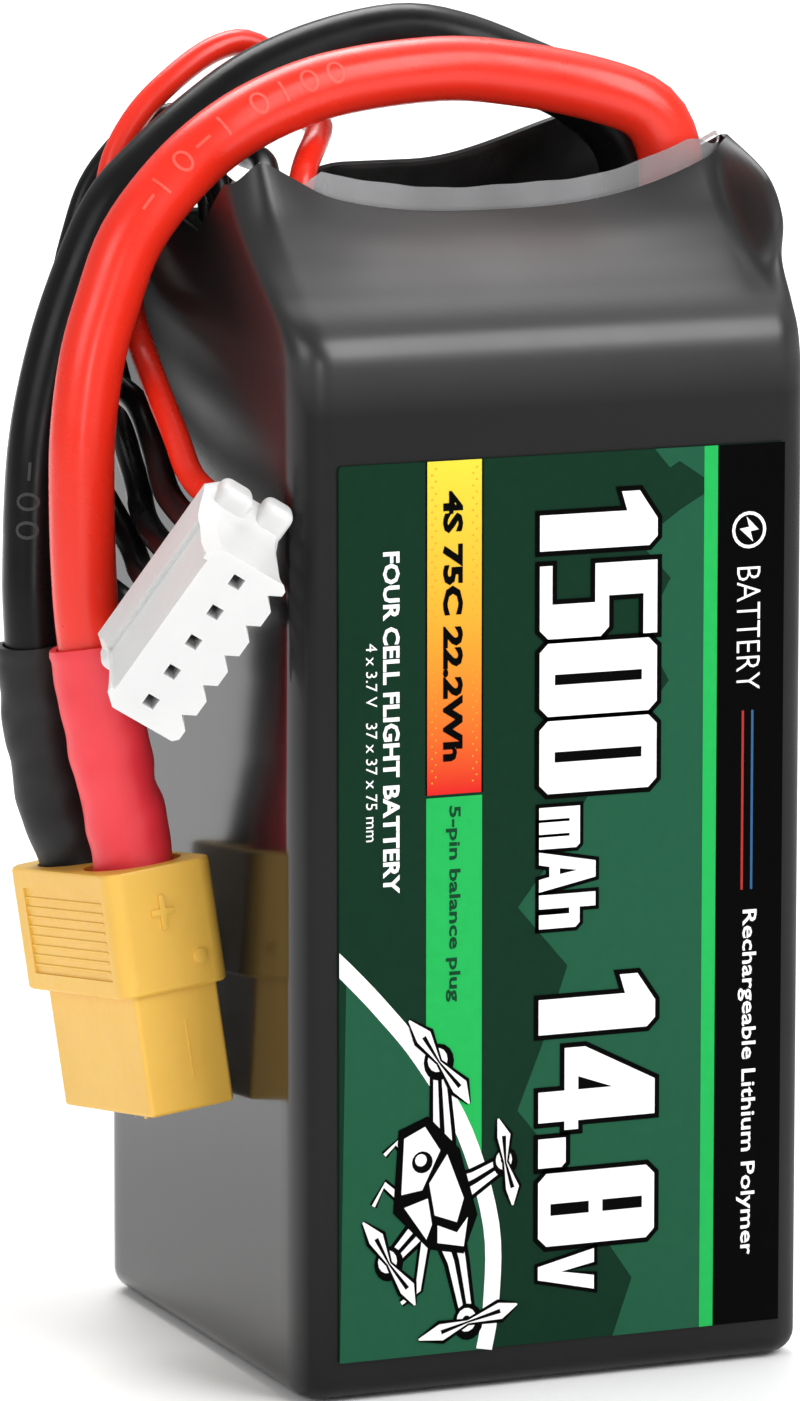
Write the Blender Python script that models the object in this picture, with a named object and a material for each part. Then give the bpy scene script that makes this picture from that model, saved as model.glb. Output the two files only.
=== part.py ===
"""Four-cell lithium polymer flight pack: shrink-wrapped cell stack, power leads and balance leads.

The pack stands on its end. The origin is at the middle of its footprint, +Z is up, the label
faces -Y and the leads hang down beside the -X face. Lengths below are in millimetres.
"""
import math

import bmesh
import bpy
from mathutils import Matrix, Vector

MM = 0.001
GAP = 0.3

# Wrap
PACK_WIDTH = 37.0
PACK_DEPTH = 37.4
EDGE_RADIUS = 2.6
LIP_RADIUS = 2.2
FOOT_RADIUS = 1.5
FOOT_WINDOW = 24.0
WRAP_WALL = 0.35
FILM_WALL = 0.25
FILM_FOOT = 2.0
FILM_STAND = 1.8
SHOULDER_Z = 67.5
LIP_Z = 77.8
# Fold from shoulder to lip: inward step, height, share of the lip's extra rise
FOLD = (
    (0.3, 70.0, 0.0),
    (1.5, 71.7, 0.0),
    (4.1, 73.4, 0.05),
    (6.9, 75.0, 0.2),
    (9.5, 76.4, 0.5),
    (11.7, LIP_Z, 1.0),
)
# The front right corner stands out as an ear before it folds in
EAR = (
    (0.5, 70.0),
    (1.6, 72.0),
    (2.9, 74.5),
    (2.4, 77.3),
    (4.8, 80.0),
    (11.7, 82.0),
)
LIP_RISE = 4.3
LIP_POWER = 2.6
CORNER_RISE = 0.7
CORNER_DROP = 3.0
# Each span is where a change along X starts and ends
CORNER_RISE_SPAN = (11.0, 16.0)
CORNER_DROP_SPAN = (16.2, 18.8)
EAR_SPAN = (15.9, 18.4)
BACK_LIP_RISE = 2.1
BACK_RIGHT_RISE = 3.4
BACK_RIGHT_SPAN = (0.0, 16.0)
BACK_LEFT_DROP = 2.7
BACK_LEFT_SPAN = (5.0, 14.0)
FILM_END_SPAN = (11.5, 15.5)
SIDE_DIP = 2.2
SIDE_LEAN = 0.012

# Label
LABEL_WIDTH = 32.1
LABEL_FOOT = 2.7
LABEL_TOP = 62.8
LABEL_OFFSET = 0.25
LABEL_THICKNESS = 0.15
LABEL_GAP = 0.1

# Cells
CELL_WIDTH = 34.4
CELL_THICKNESS = 7.6
CELL_FOOT = 2.0
CELL_HEIGHT = 63.0
TERRACE_HEIGHT = 4.0
TERRACE_THICKNESS = 0.5
PAD_THICKNESS = 0.5
CELL_PITCH = CELL_THICKNESS + PAD_THICKNESS + 2 * GAP
CELL_COUNT = 4
TAB_WIDTH = 8.0
TAB_THICKNESS = 0.3
TAB_OFFSET = 9.0
TAB_FOLD = 3.2
FOOT_PAD_Z = (0.7, 1.6)

# Connection board
BOARD_WIDTH = 32.0
BOARD_DEPTH = 28.0
BOARD_Z = (71.2, 72.2)
SHEET_THICKNESS = 0.3

# Leads
LEAD_DIAMETER = 4.4
STRAND_RADIUS = 1.3
WIRE_DIAMETER = 1.8
POSITIVE_ROUTE = (
    (14.9, -3.2, 75.0), (15.0, -3.2, 78.6), (14.7, -3.2, 81.4), (13.2, -3.0, 83.7),
    (9.8, -2.4, 85.1), (4.7, -1.2, 86.2), (-0.7, -0.3, 86.7), (-8.0, 0.0, 86.0),
    (-13.1, 0.0, 84.5), (-17.1, -0.2, 82.4), (-20.4, -0.3, 79.6), (-23.3, -0.6, 76.1),
    (-25.0, -0.9, 72.2), (-26.3, -1.2, 68.3), (-27.1, -1.5, 63.6), (-27.3, -1.7, 59.6),
    (-27.3, -1.9, 55.0), (-27.1, -2.1, 50.9), (-26.5, -2.3, 46.2), (-25.4, -2.5, 40.7),
    (-24.6, -2.6, 37.2), (-24.2, -2.8, 34.4), (-23.8, -3.2, 30.4),
)
NEGATIVE_ROUTE = (
    (14.6, 2.7, 75.0), (14.8, 2.8, 78.6), (13.9, 3.1, 81.5), (11.5, 4.0, 84.0),
    (7.6, 5.6, 86.0), (3.4, 6.9, 87.7), (-0.3, 8.0, 88.3), (-5.3, 8.7, 87.4),
    (-10.4, 9.0, 85.5), (-14.6, 9.0, 82.8), (-18.3, 9.0, 79.8), (-21.2, 8.9, 76.7),
    (-24.0, 8.4, 71.1), (-25.9, 7.8, 65.8), (-27.1, 7.2, 60.5), (-27.7, 6.5, 53.8),
    (-27.8, 6.1, 49.7), (-27.5, 5.7, 43.0), (-26.6, 5.2, 37.4), (-25.3, 4.6, 33.5),
    (-24.6, 4.0, 30.6),
)
SLEEVE_TOP_Z = {"positive": 49.4, "negative": 48.4}
SLEEVE_WALL = 0.25
SLEEVE_SIDES = 12
SLEEVE_CLEARANCE = 0.25

# Power plug
PLUG_ORIGIN = (-24.6, 0.8, 33.9)
PLUG_TURN = (6.4, -5.35, -7.3)
CONTACT_OFFSET = 3.6
CAP_HALF = (4.05, 7.95)
CAP_HEIGHT = 8.5
CAP_WALL = 0.8
CAP_ROOF = 1.2
CAP_HOLE_RADIUS = 3.3
BLOCK_HALF = (3.15, 7.45)
BLOCK_Z = (-16.7, -8.8)
BLOCK_CHAMFER = 1.5
NECK_HALF = (2.7, 6.5)
NECK_TOP = -6.0
BORE_RADIUS = 2.4
CONTACT_RADIUS = 2.05
CONTACT_Z = (-15.8, -4.9)
SOCKET_RADIUS = 1.7
SOCKET_TOP = -9.6
CUP_FLOOR = -7.6

# Balance plug
BALANCE_ORIGIN = (-27.35, -22.5, 52.5)
BALANCE_ROW = (-0.45, 0.36, -0.81)
BALANCE_MATE = (-0.3, -0.915, -0.27)
BALANCE_PITCH = 2.5
BALANCE_COUNT = 5
BALANCE_LENGTH = 9.8
BALANCE_HALF = (6.3, 2.9)
EAR_HALF = 7.5
EAR_LENGTH = 2.6
PIN_HALF = 0.5
CAVITY_HALF = 1.15
CAVITY_FLOOR = -1.4
TERMINAL_HALF = 0.65
TERMINAL_Z = (-8.6, -2.6)
TERMINAL_SLOT = 0.35
WIRE_APPROACH = -11.6
BALANCE_ROUTES = (
    ((-12.4, -2.9, 72.6), (-12.4, -3.0, 76.5), (-12.0, -2.9, 79.4), (-10.8, -1.0, 80.9),
     (-9.2, 1.4, 82.0), (-7.8, 4.2, 82.7), (-7.0, 8.2, 82.8), (-6.6, 11.6, 83.4),
     (-6.6, 13.6, 84.9), (-7.4, 14.3, 86.6), (-9.3, 14.4, 87.6), (-11.9, 14.0, 87.1),
     (-14.7, 13.7, 85.4), (-17.3, 13.5, 83.1), (-19.3, 13.0, 80.2), (-20.2, 12.2, 77.0),
     (-20.0, 11.5, 74.2), (-20.0, 8.8, 71.4), (-21.0, 4.6, 69.4), (-21.7, -0.6, 66.6),
     (-21.9, -5.0, 63.6), (-21.8, -8.0, 61.0)),
    ((-13.4, -0.6, 72.6), (-13.4, -0.6, 76.4), (-12.9, 0.8, 79.0), (-12.0, 4.0, 80.4),
     (-11.8, 8.2, 80.6), (-12.2, 12.0, 81.6), (-13.4, 15.2, 82.6), (-15.5, 16.0, 82.2),
     (-17.6, 16.0, 80.9), (-19.9, 15.9, 78.2), (-21.3, 15.5, 75.0), (-22.3, 15.0, 71.4),
     (-22.4, 12.8, 67.8), (-22.0, 7.8, 65.8), (-21.8, 2.2, 64.6), (-22.4, -2.6, 62.2),
     (-22.8, -6.2, 59.6)),
    ((-12.8, 2.0, 72.6), (-12.9, 2.4, 75.4), (-13.6, 4.2, 77.2), (-14.0, 6.4, 78.5),
     (-14.2, 9.0, 78.7), (-15.0, 11.8, 78.4), (-17.2, 13.9, 77.6), (-19.2, 14.7, 75.2),
     (-19.8, 14.4, 71.8), (-20.0, 12.8, 68.0), (-20.2, 9.6, 64.2), (-21.3, 6.0, 61.6),
     (-22.2, 1.4, 59.4), (-23.2, -3.4, 57.2)),
    ((-15.9, 0.4, 72.6), (-15.9, 0.6, 76.0), (-16.0, 1.9, 78.4), (-16.6, 2.9, 80.6),
     (-19.4, 3.4, 79.8), (-22.2, 3.1, 77.0), (-24.4, 2.7, 72.4), (-25.8, 2.3, 67.8),
     (-26.2, 2.0, 63.6), (-25.4, 1.8, 60.4), (-24.2, 1.0, 57.8), (-23.6, -1.2, 55.6),
     (-24.0, -4.4, 54.2)),
    ((-15.9, 3.0, 72.6), (-15.9, 3.2, 76.0), (-15.9, 4.6, 79.1), (-16.8, 5.4, 80.9),
     (-19.2, 5.7, 79.4), (-22.0, 5.5, 76.4), (-24.1, 5.0, 71.8), (-25.7, 4.6, 66.8),
     (-26.6, 4.0, 61.4), (-26.4, 3.6, 57.0), (-25.2, 2.8, 53.6), (-23.7, 0.6, 51.8),
     (-23.4, -2.2, 51.2), (-24.4, -4.9, 51.0)),
)



def clear_scene():
    for item in list(bpy.data.objects):
        bpy.data.objects.remove(item, do_unlink=True)


def make_material(name, colour, roughness, metallic=0.0, alpha=1.0):
    material = bpy.data.materials.new(name)
    material.use_nodes = True
    shader = material.node_tree.nodes["Principled BSDF"]
    shader.inputs["Base Color"].default_value = (*colour, 1.0)
    shader.inputs["Roughness"].default_value = roughness
    shader.inputs["Metallic"].default_value = metallic
    shader.inputs["Alpha"].default_value = alpha
    return material


def finish_object(item, material, smooth):
    item.data.materials.append(material)
    bpy.context.scene.collection.objects.link(item)
    if smooth:
        item.data.shade_smooth()
        item.data.set_sharp_from_angle(angle=math.radians(40))
    return item


def add_mesh(name, points, faces, material, smooth=False):
    """One object from millimetre points and faces, with its faces turned outward."""
    mesh = bpy.data.meshes.new(name)
    mesh.from_pydata([Vector(point) * MM for point in points], [], faces)
    build = bmesh.new()
    build.from_mesh(mesh)
    bmesh.ops.recalc_face_normals(build, faces=build.faces)
    build.to_mesh(mesh)
    build.free()
    return finish_object(bpy.data.objects.new(name, mesh), material, smooth)


def add_box(name, low, high, material, bevel=0.0):
    corners = [(x, y, z) for x in (low[0], high[0]) for y in (low[1], high[1]) for z in (low[2], high[2])]
    faces = ((0, 1, 3, 2), (4, 6, 7, 5), (0, 4, 5, 1), (2, 3, 7, 6), (0, 2, 6, 4), (1, 5, 7, 3))
    box = add_mesh(name, corners, faces, material)
    if bevel:
        modifier = box.modifiers.new("Edges", "BEVEL")
        modifier.width = bevel * MM
        modifier.segments = 2
        modifier.limit_method = "ANGLE"
    return box


def hide_tool(tool):
    tool.hide_render = True
    tool.display_type = "WIRE"


def cut(target, tool, operation="DIFFERENCE"):
    modifier = target.modifiers.new(tool.name, "BOOLEAN")
    modifier.operation = operation
    modifier.object = tool
    modifier.solver = "EXACT"
    hide_tool(tool)


def add_prism(name, outline, axis, low, high, material):
    """A solid between two planes across an axis, from an outline in the other two directions."""
    def place(pair, along):
        point = list(pair)
        point.insert(axis, along)
        return tuple(point)

    count = len(outline)
    points = [place(pair, low) for pair in outline] + [place(pair, high) for pair in outline]
    faces = [tuple(range(count)), tuple(range(2 * count - 1, count - 1, -1))]
    faces += [(i, (i + 1) % count, (i + 1) % count + count, i + count) for i in range(count)]
    return add_mesh(name, points, faces, material)


def add_turned(name, profile, material, sides=16):
    """A closed turned solid about Z, from (radius, height) pairs that start and end on the axis."""
    rim = profile[1:-1]
    points = [(0.0, 0.0, profile[0][1])]
    for radius, height in rim:
        for step in range(sides):
            angle = 2 * math.pi * step / sides
            points.append((radius * math.cos(angle), radius * math.sin(angle), height))
    points.append((0.0, 0.0, profile[-1][1]))
    last = len(points) - 1
    faces = []
    for step in range(sides):
        after = (step + 1) % sides
        faces.append((0, 1 + after, 1 + step))
        for level in range(len(rim) - 1):
            row = 1 + level * sides
            faces.append((row + step, row + after, row + sides + after, row + sides + step))
        row = 1 + (len(rim) - 1) * sides
        faces.append((row + step, row + after, last))
    return add_mesh(name, points, faces, material, smooth=True)


def rounded_ring(half_x, half_y, radius):
    """A rounded rectangle's points, with the same count for every size."""
    centre_x = half_x - radius
    centre_y = half_y - radius
    points = []
    corners = ((1, -1, -90), (1, 1, 0), (-1, 1, 90), (-1, -1, 180))
    arc_steps = 4
    for index, (side_x, side_y, start) in enumerate(corners):
        for step in range(arc_steps + 1):
            angle = math.radians(start + 90 * step / arc_steps)
            points.append((side_x * centre_x + radius * math.cos(angle),
                           side_y * centre_y + radius * math.sin(angle)))
        following = corners[(index + 1) % 4]
        edge_steps = 6 if index % 2 == 0 else 12
        angle = math.radians(start + 90)
        begin = points[-1]
        end = (following[0] * centre_x + radius * math.cos(angle),
               following[1] * centre_y + radius * math.sin(angle))
        for step in range(1, edge_steps):
            share = step / edge_steps
            points.append((begin[0] + (end[0] - begin[0]) * share, begin[1] + (end[1] - begin[1]) * share))
    return points


def smooth_step(low, high, value):
    share = min(1.0, max(0.0, (value - low) / (high - low)))
    return share * share * (3 - 2 * share)


def front_lip_extra(x):
    """The front lip rises toward both ends, and drops again at the left corner under the leads."""
    rise = LIP_RISE * (abs(x) / (PACK_WIDTH / 2)) ** LIP_POWER
    rise += CORNER_RISE * smooth_step(*CORNER_RISE_SPAN, -x)
    return rise - CORNER_DROP * smooth_step(*CORNER_DROP_SPAN, -x)


def back_lip_extra(x):
    """The back lip stands higher on the right, and low on the left where the leads pass over it."""
    rise = BACK_LIP_RISE + BACK_RIGHT_RISE * smooth_step(*BACK_RIGHT_SPAN, x)
    return rise - BACK_LEFT_DROP * smooth_step(*BACK_LEFT_SPAN, -x)


def fold_point(base, flat, level, ear_size):
    """Where a point of the straight wrap goes at one level of the folded top; ear_size is 0 for no ear."""
    inward, height, share = FOLD[level]
    x, y = flat
    half_depth = PACK_DEPTH / 2
    reach = abs(base[1]) / half_depth
    ear = ear_size * smooth_step(*EAR_SPAN, base[0])
    front_z = height + front_lip_extra(x) * share
    front_z += (EAR[level][1] - front_z) * ear
    back_z = height + back_lip_extra(x) * share
    own_z = front_z if base[1] < 0 else back_z
    middle_z = (front_z + back_z) / 2 - SIDE_DIP * share
    if base[1] < 0:
        y *= (half_depth - inward - (EAR[level][0] - inward) * ear) / (half_depth - inward)
    return (x, y, middle_z + (own_z - middle_z) * min(1.0, reach / 0.86))


def fold_ring(level, ear_size):
    share = (level + 1) / len(FOLD)
    radius = EDGE_RADIUS + (LIP_RADIUS - EDGE_RADIUS) * share
    half_x = PACK_WIDTH / 2 * (1 - SIDE_LEAN * share)
    straight = rounded_ring(PACK_WIDTH / 2, PACK_DEPTH / 2, EDGE_RADIUS)
    narrowed = rounded_ring(half_x, PACK_DEPTH / 2 - FOLD[level][0], radius)
    return [fold_point(base, flat, level, ear_size) for base, flat in zip(straight, narrowed)]


def wrap_rings(ear_size=1.0):
    """Rings of the wrap's outer surface, from the window under the pack to the lip."""
    half_x = PACK_WIDTH / 2
    half_y = PACK_DEPTH / 2
    window = FOOT_WINDOW / 2
    rings = [[(x, y, 0.0) for x, y in rounded_ring(window, window, EDGE_RADIUS)]]
    for angle in (0, 45, 90):
        inset = FOOT_RADIUS * (1 - math.sin(math.radians(angle)))
        z = FOOT_RADIUS * (1 - math.cos(math.radians(angle)))
        ring = rounded_ring(half_x - inset, half_y - inset, EDGE_RADIUS - inset)
        rings.append([(x, y, z) for x, y in ring])
    base = rounded_ring(half_x, half_y, EDGE_RADIUS)
    rings.append([(x, y, SHOULDER_Z) for x, y in base])
    rings += [fold_ring(level, ear_size) for level in range(len(FOLD))]
    return [[Vector(point) for point in ring] for ring in rings]


def offset_rings(rings, distance):
    """The same rings moved inward along the surface's own normals."""
    moved = []
    for level, ring in enumerate(rings):
        below = rings[max(level - 1, 0)]
        above = rings[min(level + 1, len(rings) - 1)]
        count = len(ring)
        row = []
        for step, point in enumerate(ring):
            around = ring[(step + 1) % count] - ring[step - 1]
            along = above[step] - below[step]
            row.append(point - around.cross(along).normalized() * distance)
        moved.append(row)
    return moved


def add_shell(name, outer, inner, material):
    """A thin open-ended shell between an outer and an inner stack of rings."""
    count = len(outer[0])
    levels = len(outer)
    points = [point for ring in outer for point in ring] + [point for ring in inner for point in ring]
    inside = levels * count
    faces = []
    for step in range(count):
        after = (step + 1) % count
        for level in range(levels - 1):
            row = level * count
            faces.append((row + step, row + after, row + count + after, row + count + step))
            faces.append((inside + row + step, inside + row + count + step,
                          inside + row + count + after, inside + row + after))
        top = (levels - 1) * count
        faces.append((top + step, top + after, inside + top + after, inside + top + step))
        faces.append((step, inside + step, inside + after, after))
    return add_mesh(name, points, faces, material, smooth=True)


def make_wrap(materials):
    outer = wrap_rings()
    add_shell("outer_wrap", outer, offset_rings(outer, WRAP_WALL), materials["wrap"])


def make_film(materials):
    """The clear film inside the wrap, which stands a little above the front lip."""
    film = offset_rings(wrap_rings(0.0), WRAP_WALL + GAP)[3:]
    film[0] = [Vector((point.x, point.y, FILM_FOOT)) for point in film[0]]
    top = []
    for point in film[-1]:
        front = smooth_step(3.0, 5.5, -point.y) * (1 - smooth_step(*FILM_END_SPAN, -point.x))
        top.append(point + Vector((0.0, 0.25 * front, 0.3 + FILM_STAND * front)))
    film.append(top)
    add_shell("inner_film", film, offset_rings(film, FILM_WALL), materials["film"])


def make_label(materials):
    front = -PACK_DEPTH / 2 - LABEL_GAP
    add_box("front_label",
            (LABEL_OFFSET - LABEL_WIDTH / 2, front - LABEL_THICKNESS, LABEL_FOOT),
            (LABEL_OFFSET + LABEL_WIDTH / 2, front, LABEL_TOP), materials["label"])


def cell_centre(index):
    return (index - (CELL_COUNT - 1) / 2) * CELL_PITCH


def make_cell(index, materials):
    """A pouch cell with its flat sealed terrace on top."""
    centre = cell_centre(index)
    half = CELL_THICKNESS / 2
    seal = TERRACE_THICKNESS / 2
    top = CELL_FOOT + CELL_HEIGHT
    bend = 0.8
    one_side = ((half - bend, CELL_FOOT), (half, CELL_FOOT + bend), (half, top - bend),
                (half - bend, top), (seal, top + bend / 2), (seal, top + TERRACE_HEIGHT))
    outline = [(centre + y, z) for y, z in one_side] + [(centre - y, z) for y, z in reversed(one_side)]
    add_prism(f"cell_{index + 1}", outline, 0, -CELL_WIDTH / 2, CELL_WIDTH / 2, materials["pouch"])


def make_tab(index, positive, materials):
    """A tab that rises from the terrace and folds flat under the board toward its neighbour."""
    right_side = positive == (index % 2 == 0)
    sign = 1 if right_side else -1
    joins_next = not positive
    end_tab = index == (0 if positive else CELL_COUNT - 1)
    way = 1 if joins_next != end_tab else -1
    centre = cell_centre(index)
    fold = way * TAB_FOLD
    foot = CELL_FOOT + CELL_HEIGHT + TERRACE_HEIGHT + 0.2
    top = BOARD_Z[0] - GAP
    half = TAB_THICKNESS / 2
    outline = [(centre - way * half, foot), (centre + way * half, foot),
               (centre + way * half, top - TAB_THICKNESS), (centre + fold, top - TAB_THICKNESS),
               (centre + fold, top), (centre - way * half, top)]
    side = "positive" if positive else "negative"
    finish = materials["aluminium_tab"] if positive else materials["nickel_tab"]
    middle = sign * TAB_OFFSET
    add_prism(f"cell_{index + 1}_{side}_tab", outline, 0,
              middle - TAB_WIDTH / 2, middle + TAB_WIDTH / 2, finish)


def make_stack(materials):
    for index in range(CELL_COUNT):
        make_cell(index, materials)
        make_tab(index, True, materials)
        make_tab(index, False, materials)
    for index in range(CELL_COUNT - 1):
        middle = (cell_centre(index) + cell_centre(index + 1)) / 2
        half = PAD_THICKNESS / 2
        add_box(f"cell_tape_{index + 1}", (-14.0, middle - half, 6.0), (14.0, middle + half, 61.0),
                materials["tape"])
    add_box("foot_pad", (-15.5, -15.5, FOOT_PAD_Z[0]), (15.5, 15.5, FOOT_PAD_Z[1]), materials["foam"])


def make_board(materials):
    add_box("connection_board", (-BOARD_WIDTH / 2, -BOARD_DEPTH / 2, BOARD_Z[0]),
            (BOARD_WIDTH / 2, BOARD_DEPTH / 2, BOARD_Z[1]), materials["board"])
    sheet_z = BOARD_Z[1] + GAP
    add_box("board_insulation", (-5.0, -10.0, sheet_z), (11.0, 10.0, sheet_z + SHEET_THICKNESS),
            materials["paper"])


def smooth_route(points, spacing):
    """Even steps along a smooth curve through the route's points."""
    anchors = [Vector(point) for point in points]
    anchors = [anchors[0] * 2 - anchors[1]] + anchors + [anchors[-1] * 2 - anchors[-2]]
    fine = []
    for before, start, end, after in zip(anchors, anchors[1:], anchors[2:], anchors[3:]):
        for step in range(12):
            t = step / 12
            fine.append(0.5 * (2 * start + (end - before) * t
                               + (2 * before - 5 * start + 4 * end - after) * t * t
                               + (3 * start - before - 3 * end + after) * t * t * t))
    fine.append(anchors[-2])
    lengths = [0.0]
    for start, end in zip(fine, fine[1:]):
        lengths.append(lengths[-1] + (end - start).length)
    count = max(2, round(lengths[-1] / spacing))
    even = []
    index = 0
    for step in range(count + 1):
        target = lengths[-1] * step / count
        while index < len(fine) - 2 and lengths[index + 1] < target:
            index += 1
        share = (target - lengths[index]) / (lengths[index + 1] - lengths[index])
        even.append(fine[index].lerp(fine[index + 1], share))
    return even


def add_cord(name, points, diameter, material):
    """A cord as a curve with a round section and filled ends."""
    curve = bpy.data.curves.new(name, "CURVE")
    curve.dimensions = "3D"
    curve.bevel_depth = diameter / 2 * MM
    curve.bevel_resolution = 3 if diameter > 4 else 2
    curve.use_fill_caps = True
    spline = curve.splines.new("POLY")
    spline.points.add(len(points) - 1)
    for slot, point in zip(spline.points, points):
        slot.co = (*(point * MM), 1.0)
    return finish_object(bpy.data.objects.new(name, curve), material, smooth=False)


def add_sleeve(name, path, material):
    """A shrunk sleeve: a thin open tube that follows a lead."""
    bore = LEAD_DIAMETER / 2 + SLEEVE_CLEARANCE
    outer = []
    inner = []
    side = Vector((0.0, 1.0, 0.0))
    for index, point in enumerate(path):
        along = (path[min(index + 1, len(path) - 1)] - path[max(index - 1, 0)]).normalized()
        across = (side - along * side.dot(along)).normalized()
        third = along.cross(across)
        angles = [2 * math.pi * step / SLEEVE_SIDES for step in range(SLEEVE_SIDES)]
        spokes = [across * math.cos(angle) + third * math.sin(angle) for angle in angles]
        outer.append([point + spoke * (bore + SLEEVE_WALL) for spoke in spokes])
        inner.append([point + spoke * bore for spoke in spokes])
    add_shell(name, outer, inner, material)


def plug_frame():
    turn, lean, tilt = (math.radians(angle) for angle in PLUG_TURN)
    rotation = Matrix.Rotation(turn, 4, "Z") @ Matrix.Rotation(lean, 4, "Y") @ Matrix.Rotation(tilt, 4, "X")
    return Matrix.Translation(Vector(PLUG_ORIGIN) * MM) @ rotation


def make_leads(materials):
    """Both power leads with their bared ends and sleeves."""
    frame = plug_frame()
    plug_side = {"positive": -CONTACT_OFFSET, "negative": CONTACT_OFFSET}
    for side, route in (("positive", POSITIVE_ROUTE), ("negative", NEGATIVE_ROUTE)):
        path = smooth_route(route, 1.3 * LEAD_DIAMETER)
        add_cord(f"{side}_lead", path, LEAD_DIAMETER, materials[f"{side}_rubber"])
        foot = route[0]
        board_end = add_turned(f"{side}_lead_board_end",
                               ((0, BOARD_Z[1] + GAP), (2.1, BOARD_Z[1] + GAP),
                                (STRAND_RADIUS, BOARD_Z[1] + 1.5),
                                (STRAND_RADIUS, foot[2] - GAP), (0, foot[2] - GAP)), materials["solder"])
        board_end.location = Vector((foot[0], foot[1], 0.0)) * MM
        plug_end = add_turned(f"{side}_lead_plug_end",
                              ((0, CUP_FLOOR + GAP), (STRAND_RADIUS, CUP_FLOOR + GAP),
                               (STRAND_RADIUS, -4.3), (0, -4.3)), materials["solder"])
        plug_end.matrix_world = frame @ Matrix.Translation(Vector((0.0, plug_side[side], 0.0)) * MM)
        lower = [point for point in smooth_route(route, 1.0) if point.z < SLEEVE_TOP_Z[side]]
        add_sleeve(f"{side}_sleeve", lower[::3], materials[f"{side}_sleeve"])


def make_power_plug(materials):
    """The power plug's rear cap, its insertion block and its two contacts, in the plug's own frame."""
    frame = plug_frame()
    cap = add_box("power_plug_cap", (-CAP_HALF[0], -CAP_HALF[1], -CAP_HEIGHT), (*CAP_HALF, 0.0),
                  materials["plug"], bevel=0.7)
    hollow = add_box("cap_hollow", (CAP_WALL - CAP_HALF[0], CAP_WALL - CAP_HALF[1], -CAP_HEIGHT - 1),
                     (CAP_HALF[0] - CAP_WALL, CAP_HALF[1] - CAP_WALL, -CAP_ROOF), materials["plug"])
    cut(cap, hollow)
    across, wide = BLOCK_HALF
    outline = ((across, -wide), (across, wide - BLOCK_CHAMFER), (across - BLOCK_CHAMFER, wide),
               (-across + BLOCK_CHAMFER, wide), (-across, wide - BLOCK_CHAMFER), (-across, -wide))
    block = add_prism("power_plug_block", outline, 2, *BLOCK_Z, materials["plug"])
    neck = add_box("block_neck", (-NECK_HALF[0], -NECK_HALF[1], BLOCK_Z[1] - 0.5), (*NECK_HALF, NECK_TOP),
                   materials["plug"])
    cut(block, neck, "UNION")
    tools = [hollow, neck]
    pieces = [cap, block]
    for side, offset in (("positive", -CONTACT_OFFSET), ("negative", CONTACT_OFFSET)):
        hole = add_turned(f"cap_hole_{side}",
                          ((0, -2.0), (CAP_HOLE_RADIUS, -2.0), (CAP_HOLE_RADIUS, 1.0), (0, 1.0)),
                          materials["plug"])
        bore = add_turned(f"block_bore_{side}",
                          ((0, BLOCK_Z[0] - 1), (BORE_RADIUS, BLOCK_Z[0] - 1), (BORE_RADIUS, NECK_TOP + 1),
                           (0, NECK_TOP + 1)), materials["plug"])
        cut(cap, hole)
        cut(block, bore)
        contact = add_turned(f"{side}_contact",
                             ((0, SOCKET_TOP), (SOCKET_RADIUS, SOCKET_TOP), (SOCKET_RADIUS, CONTACT_Z[0]),
                              (CONTACT_RADIUS, CONTACT_Z[0]), (CONTACT_RADIUS, CONTACT_Z[1]),
                              (STRAND_RADIUS + GAP, CONTACT_Z[1]), (STRAND_RADIUS + GAP, CUP_FLOOR),
                              (0, CUP_FLOOR)),
                             materials["gold"])
        for item in (hole, bore, contact):
            item.matrix_world = frame @ Matrix.Translation(Vector((0.0, offset, 0.0)) * MM)
    for item in tools + pieces:
        item.matrix_world = frame


def balance_frame():
    """The balance plug's frame: X along the pins, Y through its thickness, Z out of its mating face."""
    mate = Vector(BALANCE_MATE).normalized()
    row = Vector(BALANCE_ROW)
    row = (row - mate * row.dot(mate)).normalized()
    rotation = Matrix((row, mate.cross(row), mate)).transposed().to_4x4()
    return Matrix.Translation(Vector(BALANCE_ORIGIN) * MM) @ rotation


def make_balance_plug(materials):
    frame = balance_frame()
    half_row, half_thick = BALANCE_HALF
    rear = -BALANCE_LENGTH
    ear_top = rear + EAR_LENGTH
    outline = ((half_row, 0.0), (half_row, ear_top + 0.8), (EAR_HALF, ear_top), (EAR_HALF, rear),
               (-EAR_HALF, rear), (-EAR_HALF, ear_top), (-half_row, ear_top + 0.8), (-half_row, 0.0))
    housing = add_prism("balance_plug_housing", outline, 1, -half_thick, half_thick, materials["nylon"])
    items = [housing]
    for index in range(BALANCE_COUNT):
        x = (index - (BALANCE_COUNT - 1) / 2) * BALANCE_PITCH
        pin = add_box(f"pin_hole_{index + 1}", (x - PIN_HALF, -PIN_HALF, CAVITY_FLOOR - 1),
                      (x + PIN_HALF, PIN_HALF, 1.0), materials["nylon"])
        cavity = add_box(f"cavity_{index + 1}", (x - CAVITY_HALF, -CAVITY_HALF, rear - 1),
                         (x + CAVITY_HALF, CAVITY_HALF, CAVITY_FLOOR), materials["nylon"])
        cut(housing, pin)
        cut(housing, cavity)
        t = TERMINAL_HALF
        s = TERMINAL_SLOT
        section = ((t, -t), (t, t), (-t, t), (-t, -t), (-s, -t), (-s, s), (s, s), (s, -t))
        outline = [(x + u, v) for u, v in section]
        terminal = add_prism(f"balance_terminal_{index + 1}", outline, 2, *TERMINAL_Z, materials["tin"])
        items += [pin, cavity, terminal]
    for item in items:
        item.matrix_world = frame


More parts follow.
